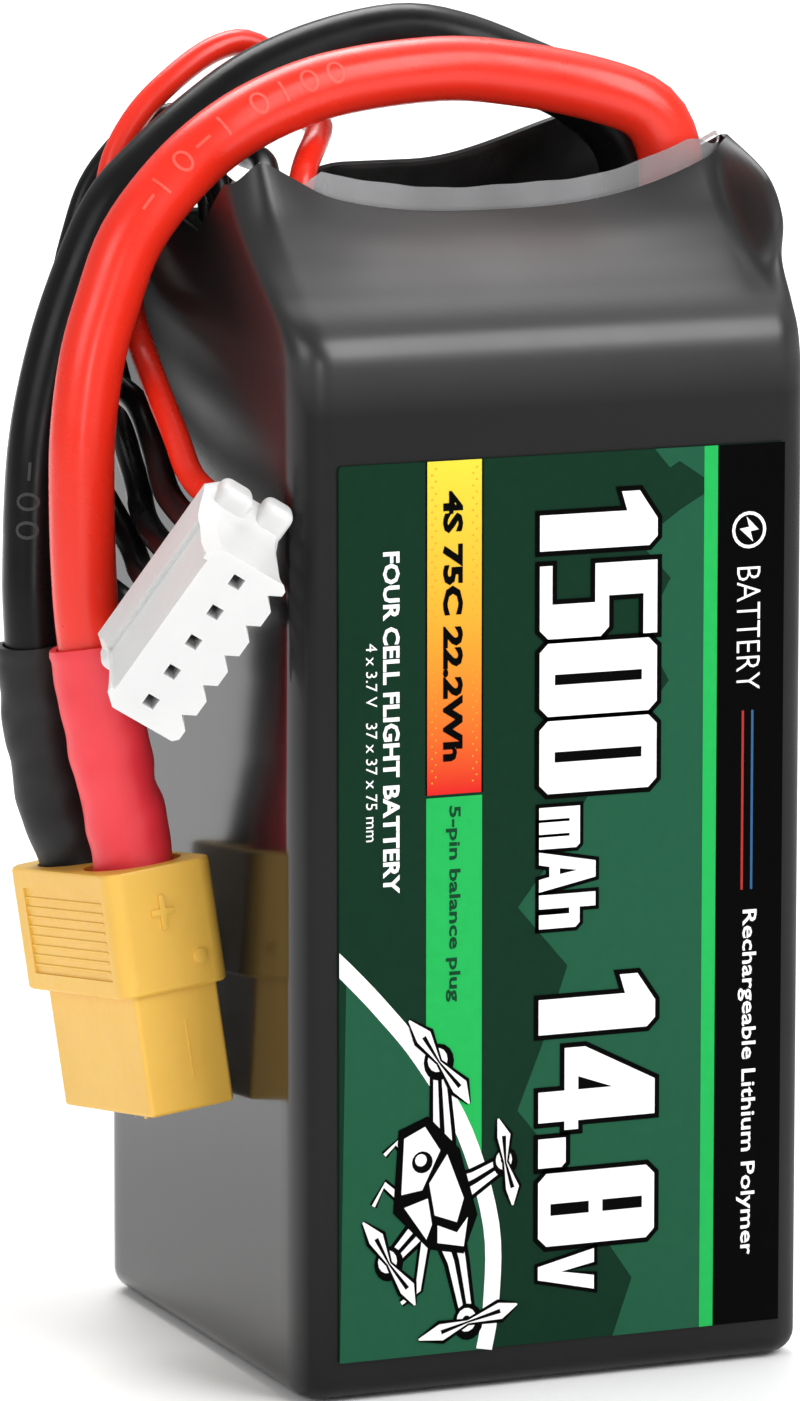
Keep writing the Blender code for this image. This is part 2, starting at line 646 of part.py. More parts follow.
def make_balance_wires(materials):
    """The five balance wires, from the board to just inside the plug's rear."""
    frame = balance_frame()
    for index, route in enumerate(BALANCE_ROUTES):
        x = (index - (BALANCE_COUNT - 1) / 2) * BALANCE_PITCH
        ends = [frame @ (Vector((x, 0.0, z)) * MM) / MM for z in (WIRE_APPROACH, TERMINAL_Z[0] - GAP)]
        path = smooth_route([*route, ends[0]], 2.2 * WIRE_DIAMETER) + [ends[1]]
        rubber = materials["positive_rubber"] if index == 0 else materials["negative_rubber"]
        add_cord(f"balance_wire_{index + 1}", path, WIRE_DIAMETER, rubber)


def make_materials():
    return {
        "wrap": make_material("black_shrink_wrap", (0.028, 0.028, 0.029), 0.28),
        "film": make_material("clear_film", (0.85, 0.86, 0.88), 0.12, alpha=0.25),
        "label": make_material("printed_label", (0.02, 0.09, 0.055), 0.35),
        "pouch": make_material("pouch_foil", (0.55, 0.56, 0.58), 0.4),
        "tape": make_material("adhesive_tape", (0.75, 0.72, 0.6), 0.7),
        "foam": make_material("foam_pad", (0.05, 0.05, 0.055), 0.9),
        "aluminium_tab": make_material("aluminium_tab", (0.75, 0.76, 0.78), 0.35, 1.0),
        "nickel_tab": make_material("nickel_tab", (0.62, 0.58, 0.5), 0.35, 1.0),
        "board": make_material("circuit_board", (0.02, 0.16, 0.06), 0.45),
        "paper": make_material("insulation_paper", (0.55, 0.42, 0.22), 0.85),
        "solder": make_material("tinned_strands", (0.66, 0.66, 0.67), 0.3, 1.0),
        "positive_rubber": make_material("red_silicone", (0.85, 0.035, 0.015), 0.38),
        "negative_rubber": make_material("black_silicone", (0.035, 0.036, 0.038), 0.38),
        "positive_sleeve": make_material("red_sleeve", (0.8, 0.06, 0.075), 0.4),
        "negative_sleeve": make_material("black_sleeve", (0.025, 0.025, 0.026), 0.5),
        "plug": make_material("yellow_nylon", (0.8, 0.52, 0.11), 0.45),
        "gold": make_material("gold_contact", (0.9, 0.66, 0.28), 0.25, 1.0),
        "nylon": make_material("white_nylon", (0.86, 0.86, 0.85), 0.4),
        "tin": make_material("tinned_terminal", (0.6, 0.6, 0.6), 0.35, 1.0),
    }


def main():
    clear_scene()
    materials = make_materials()
    make_wrap(materials)
    make_film(materials)
    make_label(materials)
    make_stack(materials)
    make_board(materials)
    make_leads(materials)
    make_power_plug(materials)
    make_balance_plug(materials)
    make_balance_wires(materials)


main()
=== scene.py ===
"""Looks for the four-cell lithium polymer pack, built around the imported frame.

The frame's origin is the middle of the footprint, +Z is up, the label faces -Y and the leads hang beside
the -X face. Shapes are written in millimetres and scaled to metres where objects are made.
"""
import math

import bmesh
import bpy
from mathutils import Matrix, Vector


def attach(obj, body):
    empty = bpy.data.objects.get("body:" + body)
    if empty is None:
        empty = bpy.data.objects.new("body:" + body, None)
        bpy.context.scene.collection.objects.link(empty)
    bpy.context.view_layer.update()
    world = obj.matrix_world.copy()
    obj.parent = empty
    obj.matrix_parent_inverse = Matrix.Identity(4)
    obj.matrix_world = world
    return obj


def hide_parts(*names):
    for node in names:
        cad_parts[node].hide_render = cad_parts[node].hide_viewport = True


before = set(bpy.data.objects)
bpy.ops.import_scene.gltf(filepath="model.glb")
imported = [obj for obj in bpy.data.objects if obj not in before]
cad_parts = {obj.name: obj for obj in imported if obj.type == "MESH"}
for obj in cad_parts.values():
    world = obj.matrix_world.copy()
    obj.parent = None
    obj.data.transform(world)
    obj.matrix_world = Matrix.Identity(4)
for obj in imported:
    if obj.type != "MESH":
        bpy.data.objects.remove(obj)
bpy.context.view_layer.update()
MM = 0.001

# ---------------------------------------------------------------- shared with the CAD part
PACK_WIDTH = 37.0
PACK_DEPTH = 37.4
EDGE_RADIUS = 2.6
LIP_RADIUS = 2.2
FOOT_RADIUS = 1.5
FOOT_WINDOW = 24.0
WRAP_WALL = 0.3
LIP_Z = 77.8
# Fold from shoulder to lip: inward step, height, share of the lip's extra rise
FOLD = (
    (0.0, 67.5, 0.0),
    (0.3, 70.0, 0.0),
    (1.5, 71.7, 0.0),
    (4.1, 73.4, 0.05),
    (6.9, 75.0, 0.2),
    (9.5, 76.4, 0.5),
    (11.7, LIP_Z, 1.0),
)
# The front right corner stands out as an ear before it folds in
EAR = (
    (0.0, 67.5),
    (0.5, 70.0),
    (1.6, 72.0),
    (2.9, 74.5),
    (2.4, 77.3),
    (4.8, 80.0),
    (11.7, 82.0),
)
LIP_RISE = 4.3
LIP_POWER = 2.6
CORNER_RISE = 0.7
CORNER_DROP = 3.0
# Each span is where a change along X starts and ends
CORNER_RISE_SPAN = (11.0, 16.0)
CORNER_DROP_SPAN = (16.2, 18.8)
EAR_SPAN = (15.9, 18.4)
BACK_LIP_RISE = 2.1
BACK_RIGHT_RISE = 3.4
BACK_RIGHT_SPAN = (0.0, 16.0)
BACK_LEFT_DROP = 2.7
BACK_LEFT_SPAN = (5.0, 14.0)
SIDE_DIP = 2.2
SIDE_REACH = 0.86
SIDE_LEAN = 0.012
# The clear film: its place inside the wrap, and how its strip rises and leans above the front lip
FILM_INSET = 0.65
FILM_WALL = 0.12
FILM_RISE = 0.3
FILM_STAND = 1.8
FILM_LEAN = 0.25
# Strip faces in front of this Y get a half-opaque grey, which is a painted reflection of light on the clear
# film
FILM_SHEEN_BACK = -2.0
# Each span is where the strip grows or fades, along -Y, -X and X
FILM_FRONT_SPAN = (3.0, 5.5)
FILM_LEFT_SPAN = (12.0, 13.4)
FILM_RIGHT_SPAN = (14.8, 17.8)
# The label, seen from the front
LABEL_LEFT = -15.8
LABEL_RIGHT = 16.3
LABEL_FOOT = 2.7
LABEL_TOP = 62.8
LABEL_FACE = -PACK_DEPTH / 2 - 0.22
LABEL_CORNER = 0.28
SUNSET_FOOT = 40.6
INK_STEP = 0.008
BASELINE_X = -1.5
LEAD_DIAMETER = 4.4
WIRE_DIAMETER = 1.8
POSITIVE_ROUTE = (
    (14.9, -3.2, 75.0), (15.0, -3.2, 78.6), (14.7, -3.2, 81.4), (13.2, -3.0, 83.7),
    (9.8, -2.4, 85.1), (4.7, -1.2, 86.2), (-0.7, -0.3, 86.7), (-8.0, 0.0, 86.0),
    (-13.1, 0.0, 84.5), (-17.1, -0.2, 82.4), (-20.4, -0.3, 79.6), (-23.3, -0.6, 76.1),
    (-25.0, -0.9, 72.2), (-26.3, -1.2, 68.3), (-27.1, -1.5, 63.6), (-27.3, -1.7, 59.6),
    (-27.3, -1.9, 55.0), (-27.1, -2.1, 50.9), (-26.5, -2.3, 46.2), (-25.4, -2.5, 40.7),
    (-24.6, -2.6, 37.2), (-24.2, -2.8, 34.4), (-23.8, -3.2, 30.4),
)
NEGATIVE_ROUTE = (
    (14.6, 2.7, 75.0), (14.8, 2.8, 78.6), (13.9, 3.1, 81.5), (11.5, 4.0, 84.0),
    (7.6, 5.6, 86.0), (3.4, 6.9, 87.7), (-0.3, 8.0, 88.3), (-5.3, 8.7, 87.4),
    (-10.4, 9.0, 85.5), (-14.6, 9.0, 82.8), (-18.3, 9.0, 79.8), (-21.2, 8.9, 76.7),
    (-24.0, 8.4, 71.1), (-25.9, 7.8, 65.8), (-27.1, 7.2, 60.5), (-27.7, 6.5, 53.8),
    (-27.8, 6.1, 49.7), (-27.5, 5.7, 43.0), (-26.6, 5.2, 37.4), (-25.3, 4.6, 33.5),
    (-24.6, 4.0, 30.6),
)
SLEEVE_TOP_Z = {"positive": 49.4, "negative": 48.4}
PLUG_ORIGIN = (-24.6, 0.8, 33.9)
PLUG_TURN = (6.4, -5.35, -7.3)
CONTACT_OFFSET = 3.6
BALANCE_ORIGIN = (-27.35, -22.5, 52.5)
BALANCE_ROW = (-0.45, 0.36, -0.81)
BALANCE_MATE = (-0.3, -0.915, -0.27)
BALANCE_PITCH = 2.5
BALANCE_COUNT = 5
BALANCE_LENGTH = 9.8
WIRE_END_Z = (-11.6, -8.9)
BALANCE_ROUTES = (
    ((-12.4, -2.9, 72.6), (-12.4, -3.0, 76.5), (-12.0, -2.9, 79.4), (-10.8, -1.0, 80.9),
     (-9.2, 1.4, 82.0), (-7.8, 4.2, 82.7), (-7.0, 8.2, 82.8), (-6.6, 11.6, 83.4),
     (-6.6, 13.6, 84.9), (-7.4, 14.3, 86.6), (-9.3, 14.4, 87.6), (-11.9, 14.0, 87.1), (-14.7, 13.7, 85.4),
     (-17.3, 13.5, 83.1), (-19.3, 13.0, 80.2), (-20.2, 12.2, 77.0), (-20.0, 11.5, 74.2), (-20.0, 8.8, 71.4),
     (-21.0, 4.6, 69.4), (-21.7, -0.6, 66.6), (-21.9, -5.0, 63.6), (-21.8, -8.0, 61.0)),
    ((-13.4, -0.6, 72.6), (-13.4, -0.6, 76.4), (-12.9, 0.8, 79.0), (-12.0, 4.0, 80.4),
     (-11.8, 8.2, 80.6), (-12.2, 12.0, 81.6), (-13.4, 15.2, 82.6), (-15.5, 16.0, 82.2),
     (-17.6, 16.0, 80.9), (-19.9, 15.9, 78.2), (-21.3, 15.5, 75.0), (-22.3, 15.0, 71.4),
     (-22.4, 12.8, 67.8), (-22.0, 7.8, 65.8), (-21.8, 2.2, 64.6), (-22.4, -2.6, 62.2),
     (-22.8, -6.2, 59.6)),
    ((-12.8, 2.0, 72.6), (-12.9, 2.4, 75.4), (-13.6, 4.2, 77.2), (-14.0, 6.4, 78.5),
     (-14.2, 9.0, 78.7), (-15.0, 11.8, 78.4), (-17.2, 13.9, 77.6), (-19.2, 14.7, 75.2),
     (-19.8, 14.4, 71.8), (-20.0, 12.8, 68.0), (-20.2, 9.6, 64.2), (-21.3, 6.0, 61.6),
     (-22.2, 1.4, 59.4), (-23.2, -3.4, 57.2)),
    ((-15.9, 0.4, 72.6), (-15.9, 0.6, 76.0), (-16.0, 1.9, 78.4), (-16.6, 2.9, 80.6),
     (-19.4, 3.4, 79.8), (-22.2, 3.1, 77.0), (-24.4, 2.7, 72.4), (-25.8, 2.3, 67.8),
     (-26.2, 2.0, 63.6), (-25.4, 1.8, 60.4), (-24.2, 1.0, 57.8), (-23.6, -1.2, 55.6),
     (-24.0, -4.4, 54.2)),
    ((-15.9, 3.0, 72.6), (-15.9, 3.2, 76.0), (-15.9, 4.6, 79.1), (-16.8, 5.4, 80.9),
     (-19.2, 5.7, 79.4), (-22.0, 5.5, 76.4), (-24.1, 5.0, 71.8), (-25.7, 4.6, 66.8),
     (-26.6, 4.0, 61.4), (-26.4, 3.6, 57.0), (-25.2, 2.8, 53.6), (-23.7, 0.6, 51.8),
     (-23.4, -2.2, 51.2), (-24.4, -4.9, 51.0)),
)


# ---------------------------------------------------------------- materials
class Shader:
    """A Principled material and the few node chains that the pieces share."""

    def __init__(self, name, colour, roughness, **values):
        self.material = bpy.data.materials.new(name)
        self.material.use_nodes = True
        self.nodes = self.material.node_tree.nodes
        self.links = self.material.node_tree.links
        self.main = self.nodes["Principled BSDF"]
        self.colour = colour
        self.main.inputs["Base Color"].default_value = (*colour, 1.0)
        self.main.inputs["Roughness"].default_value = roughness
        for key, value in values.items():
            self.main.inputs[key.replace("_", " ")].default_value = value
        self.place = self.nodes.new("ShaderNodeTexCoord").outputs["Object"]

    def noise(self, scale, detail, stretch=(1, 1, 1)):
        """Noise with its size given in features per millimetre."""
        mapping = self.nodes.new("ShaderNodeMapping")
        mapping.inputs["Scale"].default_value = stretch
        self.links.new(self.place, mapping.inputs["Vector"])
        node = self.nodes.new("ShaderNodeTexNoise")
        node.inputs["Scale"].default_value = scale / MM
        node.inputs["Detail"].default_value = detail
        self.links.new(mapping.outputs["Vector"], node.inputs["Vector"])
        return node.outputs["Fac"]

    def span(self, value, low, high, at=(0.3, 0.7)):
        node = self.nodes.new("ShaderNodeMapRange")
        node.inputs["From Min"].default_value = at[0]
        node.inputs["From Max"].default_value = at[1]
        node.inputs["To Min"].default_value = low
        node.inputs["To Max"].default_value = high
        self.links.new(value, node.inputs["Value"])
        return node.outputs["Result"]

    def along(self, axis, places, low, high):
        """A value that goes from low to high between two places on an axis, in millimetres."""
        split = self.nodes.new("ShaderNodeSeparateXYZ")
        self.links.new(self.place, split.inputs["Vector"])
        return self.span(split.outputs[axis], low, high, [place * MM for place in places])

    def combined(self, operation, first, second):
        """Two values through one math node."""
        node = self.nodes.new("ShaderNodeMath")
        node.operation = operation
        self.links.new(first, node.inputs[0])
        self.links.new(second, node.inputs[1])
        return node.outputs["Value"]

    def ramp(self, value, stops):
        """Colour the base along a value; stops are two or three (position, colour) pairs."""
        node = self.nodes.new("ShaderNodeValToRGB")
        elements = node.color_ramp.elements
        if len(stops) == 3:
            elements.new(0.5)
        for element, (position, colour) in zip(elements, stops):
            element.position = position
            element.color = (*colour, 1.0)
        self.links.new(value, node.inputs["Fac"])
        self.links.new(node.outputs["Color"], self.main.inputs["Base Color"])

    def tint(self, value, other, at=(0.3, 0.7)):
        """Blend the base colour toward another along a value."""
        self.ramp(value, ((at[0], self.colour), (at[1], other)))

    def vary_roughness(self, value, low, high):
        self.links.new(self.span(value, low, high), self.main.inputs["Roughness"])

    def bump(self, value, distance, strength):
        node = self.nodes.new("ShaderNodeBump")
        node.inputs["Distance"].default_value = distance * MM
        node.inputs["Strength"].default_value = strength
        self.links.new(value, node.inputs["Height"])
        self.links.new(node.outputs["Normal"], self.main.inputs["Normal"])


def worked(name, colour, roughness, tint, grain=None, bump=None, **values):
    """A tinted material; each of tint, grain and bump holds its noise and then its own settings."""
    shader = Shader(name, colour, roughness, **values)
    noise, *settings = tint
    shader.tint(shader.noise(*noise), *settings)
    if grain:
        noise, *settings = grain
        shader.vary_roughness(shader.noise(*noise), *settings)
    if bump:
        noise, *settings = bump
        shader.bump(shader.noise(*noise), *settings)
    return shader


def moulded(name, colour, roughness, other, **values):
    """Moulded plastic: faint cloudy colour, fine grain and a little light let in."""
    return worked(name, colour, roughness, ((0.12, 4), other), ((1.2, 4), roughness * 0.82, roughness * 1.2),
                  ((2.4, 3), 0.012, 0.35), Subsurface_Weight=0.12, **values)


def rolled(name, colour, roughness, other):
    """Metal strip with fine rolling lines."""
    lines = (0.9, 5, (1, 1, 14))
    return worked(name, colour, roughness, (lines, other), (lines, roughness * 0.7, roughness * 1.4),
                  (lines, 0.01, 0.3), Metallic=1.0)


def rubber(name, colour, other, cloud, roughness, rough_span, specular):
    """Silicone insulation: faint clouds and a fine grain."""
    return worked(name, colour, roughness, ((cloud, 3), other), ((0.4, 4), *rough_span),
                  ((1.6, 3), 0.012, 0.4), Specular_IOR_Level=specular)


def shrunk(name, colour, other, roughness, rough_span, specular):
    """A shrunk sleeve: clouds and waves drawn out along the cord."""
    drawn = (1, 1, 0.5)
    return worked(name, colour, roughness, ((0.12, 4, drawn), other), ((0.5, 4), *rough_span),
                  ((0.5, 4, drawn), 0.03, 0.4), Specular_IOR_Level=specular)


# Where the wrap's shine changes, in millimetres
LEFT_EDGE_SPAN = (-18.4, -17.6)
RIGHT_EDGE_SPAN = (15.2, 17.2)
UPPER_SPAN = (50.0, 68.0)
SHOULDER_SPAN = (66.0, 69.5)


def make_wrap_film():
    """The wrap: glossy on the left face, satin in front and toward the top, with bright shoulders."""
    wrap = worked("wrap_film", (0.006, 0.006, 0.0063), 0.37, ((0.05, 3), (0.008, 0.008, 0.0084)),
                  bump=((0.045, 2, (1, 1, 0.5)), 0.04, 0.2), Specular_IOR_Level=0.3)
    rough = wrap.combined("MAXIMUM", wrap.along("X", LEFT_EDGE_SPAN, 0.13, 0.34),
                          wrap.along("Z", UPPER_SPAN, 0.13, 0.36))
    rough = wrap.combined("MAXIMUM", rough, wrap.along("X", RIGHT_EDGE_SPAN, 0.0, 0.5))
    mottle = wrap.span(wrap.noise(0.09, 4), 0.9, 1.1)
    wrap.links.new(wrap.combined("MULTIPLY", rough, mottle), wrap.main.inputs["Roughness"])
    shine = wrap.combined("MAXIMUM", wrap.along("X", LEFT_EDGE_SPAN, 0.6, 0.19),
                          wrap.along("Z", SHOULDER_SPAN, 0.19, 0.68))
    wrap.links.new(shine, wrap.main.inputs["Specular IOR Level"])
    return wrap


def film_shaders():
    return {
        "wrap": make_wrap_film(),
        "wrap_inside": worked("wrap_inside", (0.002, 0.002, 0.002), 0.65, ((0.2, 3), (0.004, 0.004, 0.004)),
                              Specular_IOR_Level=0.1),
        "film": worked("clear_film", (0.2, 0.2, 0.2), 0.15, ((0.35, 3, (1, 1, 0.3)), (0.85, 0.85, 0.86)),
                       Alpha=0.04, Specular_IOR_Level=0.15),
        # The standing strip's half-opaque grey is a painted reflection of light on the clear film
        "film_sheen": worked("clear_film_sheen", (0.27, 0.27, 0.275), 0.18,
                             ((0.12, 3, (1, 1, 0.3)), (0.45, 0.45, 0.46)),
                             bump=((0.2, 3, (1, 1, 0.4)), 0.05, 0.4), Alpha=0.46),
    }


def cord_shaders():
    return {
        "black_rubber": rubber("black_insulation", (0.004, 0.0042, 0.0047), (0.0055, 0.0057, 0.0063),
                               0.08, 0.3, (0.25, 0.36), 0.2),
        "red_rubber": rubber("red_insulation", (0.77, 0.021, 0.008), (0.84, 0.028, 0.011),
                             0.07, 0.27, (0.24, 0.34), 0.45),
        "sleeve_red": shrunk("red_shrink", (0.72, 0.022, 0.036), (0.80, 0.036, 0.052),
                             0.42, (0.36, 0.5), 0.5),
        "sleeve_black": shrunk("black_shrink", (0.008, 0.008, 0.0085), (0.013, 0.013, 0.0135),
                               0.5, (0.42, 0.58), 0.3),
        "mark_red": worked("red_cord_mark", (0.83, 0.065, 0.04), 0.5, ((0.8, 3), (0.85, 0.1, 0.07))),
        "mark_black": worked("black_cord_mark", (0.02, 0.021, 0.023), 0.5, ((0.8, 3), (0.035, 0.037, 0.04))),
    }


def inner_shaders():
    """The cells and their pads, the board and the metal parts."""
    bands = (0.35, 2, (1, 0.25, 1))
    return {
        "pouch": worked("pouch_foil", (0.55, 0.56, 0.58), 0.35, ((0.15, 3), (0.68, 0.69, 0.7)),
                        bump=((0.25, 4), 0.1, 0.5), Metallic=0.7),
        "solder": worked("tinned_strands", (0.68, 0.68, 0.69), 0.28,
                         ((1.2, 3, (1, 1, 0.15)), (0.5, 0.44, 0.36)),
                         bump=((1.4, 2, (1, 1, 0.12)), 0.15, 0.7), Metallic=1.0),
        "paper": worked("insulation_card", (0.04, 0.04, 0.042), 0.8,
                        ((1.5, 5, (1, 0.3, 1)), (0.07, 0.068, 0.06)), bump=((3.0, 4), 0.03, 0.5)),
        "foam": worked("foam", (0.03, 0.03, 0.033), 0.9, ((1.6, 4), (0.075, 0.075, 0.08)),
                       bump=((1.8, 3), 0.2, 0.7)),
        "tape": worked("adhesive_tape", (0.72, 0.69, 0.56), 0.7, ((0.8, 4), (0.82, 0.8, 0.7)),
                       bump=((1.5, 3), 0.03, 0.4)),
        "board": worked("circuit_board", (0.015, 0.14, 0.05), 0.4,
                        (bands, (0.03, 0.2, 0.075), (0.48, 0.52)), bump=(bands, 0.03, 0.4)),
        "tin": rolled("tinned_terminal", (0.42, 0.41, 0.38), 0.32, (0.52, 0.5, 0.46)),
        "gold": rolled("gold_contact", (0.92, 0.66, 0.27), 0.2, (0.98, 0.76, 0.4)),
        "aluminium": rolled("aluminium_tab", (0.76, 0.77, 0.79), 0.3, (0.85, 0.86, 0.88)),
        "nickel": rolled("nickel_tab", (0.62, 0.58, 0.5), 0.3, (0.7, 0.67, 0.6)),
    }


def plug_shaders():
    return {
        "plug": moulded("yellow_nylon", (0.76, 0.44, 0.062), 0.42, (0.81, 0.485, 0.078),
                        Subsurface_Scale=0.0012, Subsurface_Radius=(1.0, 0.5, 0.15)),
        "nylon": moulded("white_nylon", (0.63, 0.635, 0.63), 0.36, (0.68, 0.68, 0.675),
                         Subsurface_Scale=0.001, Subsurface_Radius=(1.0, 0.95, 0.9)),
    }


def print_ink(name, colour, other=None):
    """Ink on the label film, with a faint screen-printed mottle."""
    roughness = 0.42
    other = other or tuple(min(1.0, value * 1.06 + 0.001) for value in colour)
    return worked(name, colour, roughness, ((1.5, 4), other), ((0.3, 3), roughness * 0.85, roughness * 1.15),
                  Specular_IOR_Level=0.03)


def make_sunset():
    """Ink that runs from red at the stripe's foot through orange to yellow at its top."""
    sunset = Shader("ink_sunset", (0.69, 0.59, 0.05), 0.42, Specular_IOR_Level=0.03)
    sunset.ramp(sunset.along("Z", (SUNSET_FOOT, LABEL_TOP), 0.0, 1.0),
                ((0.0, (0.62, 0.018, 0.018)), (0.5, (0.76, 0.33, 0.03)), (1.0, (0.69, 0.59, 0.048))))
    return sunset


# Each plain ink's colour and, for the large areas, the colour of its mottle
INKS = {
    "dark_green": ((0.005, 0.0265, 0.0138), (0.006, 0.029, 0.0152)),
    "mid_green": ((0.0135, 0.083, 0.043), (0.015, 0.087, 0.0455)),
    "bright_green": ((0.017, 0.375, 0.081),),
    "black": ((0.0004, 0.0004, 0.0004), (0.0006, 0.0006, 0.0006)),
    "white": ((0.88, 0.88, 0.88),),
    "pale": ((0.78, 0.76, 0.76),),
    "dark_text": ((0.006, 0.05, 0.02),),
    "dots": ((0.85, 0.3, 0.03),),
    "line_red": ((0.35, 0.03, 0.025),),
    "line_blue": ((0.03, 0.1, 0.22),),
}


def ink_shaders():
    inks = {name: print_ink(f"ink_{name}", *colours) for name, colours in INKS.items()}
    return {**inks, "sunset": make_sunset()}


def make_shaders():
    return {**film_shaders(), **cord_shaders(), **inner_shaders(), **plug_shaders(), **ink_shaders()}


# ---------------------------------------------------------------- mesh helpers
def new_object(name, data):
    item = bpy.data.objects.new(name, data)
    bpy.context.scene.collection.objects.link(item)
    return item


def new_mesh(name, points, faces):
    """A mesh from millimetre points, with its faces turned outward."""
    mesh = bpy.data.meshes.new(name)
    mesh.from_pydata([Vector(point) * MM for point in points], [], faces)
    build = bmesh.new()
    build.from_mesh(mesh)
    bmesh.ops.recalc_face_normals(build, faces=build.faces)
    build.to_mesh(mesh)
    build.free()
    return mesh


def mesh_object(name, points, faces, shaders, smooth=True, face_shader=None, sharp=35):
    """A mesh object with its materials; several shaders take their faces from face_shader."""
    mesh = new_mesh(name, points, faces)
    for shader in shaders:
        mesh.materials.append(shader.material)
    if face_shader:
        for polygon, index in zip(mesh.polygons, face_shader):
            polygon.material_index = index
    if smooth:
        mesh.shade_smooth()
        mesh.set_sharp_from_angle(angle=math.radians(sharp))
    return new_object(name, mesh)


def add_piece(item, slot, *nodes):
    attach(item, "root")
    if nodes:
        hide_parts(*nodes)
    return item


def shell_faces(count, levels):
    """Faces of an outer and an inner stack of rings joined at both ends."""
    inside = count * levels
    top = count * (levels - 1)
    faces = []
    for step in range(count):
        after = (step + 1) % count
        for row in range(0, top, count):
            faces.append((row + step, row + after, row + count + after, row + count + step))
            faces.append((inside + row + step, inside + row + count + step,
                          inside + row + count + after, inside + row + after))
        faces.append((top + step, top + after, inside + top + after, inside + top + step))
        faces.append((step, inside + step, inside + after, after))
    return faces


def stack_faces(count, levels):
    """Faces of one closed stack of rings, both ends first."""
    top = count * (levels - 1)
    faces = [tuple(range(count)), tuple(range(top, top + count))]
    for row in range(0, top, count):
        for step in range(count):
            after = (step + 1) % count
            faces.append((row + step, row + after, row + count + after, row + count + step))
    return faces


def all_points(rings):
    return [point for ring in rings for point in ring]


def circle(centre, radius, sides, squash=1.0):
    turns = [2 * math.pi * step / sides for step in range(sides)]
    return [(centre[0] + radius * math.cos(turn), centre[1] + radius * squash * math.sin(turn))
            for turn in turns]


def smooth_step(low, high, value):
    share = min(1.0, max(0.0, (value - low) / (high - low)))
    return share * share * (3 - 2 * share)


def catmull(before, start, end, after, t):
    """The smooth curve from start to end, for numbers and for vectors."""
    return 0.5 * (2 * start + (end - before) * t
                  + (2 * before - 5 * start + 4 * end - after) * t * t
                  + (3 * start - before - 3 * end + after) * t * t * t)


def curve_value(values, at):
    """A smooth curve through evenly spaced tuples."""
    last = len(values) - 1
    index = min(int(at), last - 1)
    around = [values[min(max(index + step, 0), last)] for step in (-1, 0, 1, 2)]
    return tuple(catmull(*numbers, at - index) for numbers in zip(*around))


def smooth_route(points, spacing):
    """Even steps along a smooth curve through the route's points."""
    anchors = [Vector(point) for point in points]
    anchors = [anchors[0] * 2 - anchors[1]] + anchors + [anchors[-1] * 2 - anchors[-2]]
    fine = []
    for around in zip(anchors, anchors[1:], anchors[2:], anchors[3:]):
        fine += [catmull(*around, step / 12) for step in range(12)]
    fine.append(anchors[-2])
    lengths = [0.0]
    for start, end in zip(fine, fine[1:]):
        lengths.append(lengths[-1] + (end - start).length)
    count = max(2, round(lengths[-1] / spacing))
    even = []
    index = 0
    for step in range(count + 1):
        target = lengths[-1] * step / count
        while index < len(fine) - 2 and lengths[index + 1] < target:
            index += 1
        share = (target - lengths[index]) / (lengths[index + 1] - lengths[index])
        even.append(fine[index].lerp(fine[index + 1], share))
    return even


# ---------------------------------------------------------------- wrap and film
ARC_STEPS = 10
EDGE_STEPS = (28, 44)
FOLD_STEPS = 9


def rounded_ring(half_x, half_y, radius, arc_steps=ARC_STEPS, edge_steps=EDGE_STEPS):
    """A closed outline with round corners, with its arcs and edges split evenly."""
    centre_x = half_x - radius
    centre_y = half_y - radius
    corners = ((1, -1, -90), (1, 1, 0), (-1, 1, 90), (-1, -1, 180))

    def corner_point(corner, degrees):
        side_x, side_y, _ = corner
        angle = math.radians(degrees)
        return (side_x * centre_x + radius * math.cos(angle), side_y * centre_y + radius * math.sin(angle))

    points = []
    for index, corner in enumerate(corners):
        start = corner[2]
        points += [corner_point(corner, start + 90 * step / arc_steps) for step in range(arc_steps + 1)]
        begin = points[-1]
        end = corner_point(corners[(index + 1) % 4], start + 90)
        steps = edge_steps[index % 2]
        shares = [step / steps for step in range(1, steps)]
        points += [(begin[0] + (end[0] - begin[0]) * share, begin[1] + (end[1] - begin[1]) * share)
                   for share in shares]
    return points


def front_lip_extra(x):
    """How much higher than its middle the front lip is; both ends rise, and the left one falls again."""
    rise = LIP_RISE * (abs(x) / (PACK_WIDTH / 2)) ** LIP_POWER
    rise += CORNER_RISE * smooth_step(*CORNER_RISE_SPAN, -x)
    return rise - CORNER_DROP * smooth_step(*CORNER_DROP_SPAN, -x)


def back_lip_extra(x):
    rise = BACK_LIP_RISE + BACK_RIGHT_RISE * smooth_step(*BACK_RIGHT_SPAN, x)
    return rise - BACK_LEFT_DROP * smooth_step(*BACK_LEFT_SPAN, -x)


def fold_point(base, flat, fold, ear_fold, ear_size):
    """Where a point of the straight wrap goes at one height of the folded top."""
    inward, height, share = fold
    ear_inward, ear_height = ear_fold
    x, y = flat
    half_depth = PACK_DEPTH / 2
    reach = abs(base[1]) / half_depth
    ear = ear_size * smooth_step(*EAR_SPAN, base[0])
    front_z = height + front_lip_extra(x) * share
    front_z += (ear_height - front_z) * ear
    back_z = height + back_lip_extra(x) * share
    own_z = front_z if base[1] < 0 else back_z
    middle_z = (front_z + back_z) / 2 - SIDE_DIP * share
    if base[1] < 0:
        y *= (half_depth - inward - (ear_inward - inward) * ear) / (half_depth - inward)
    return (x, y, middle_z + (own_z - middle_z) * min(1.0, reach / SIDE_REACH))


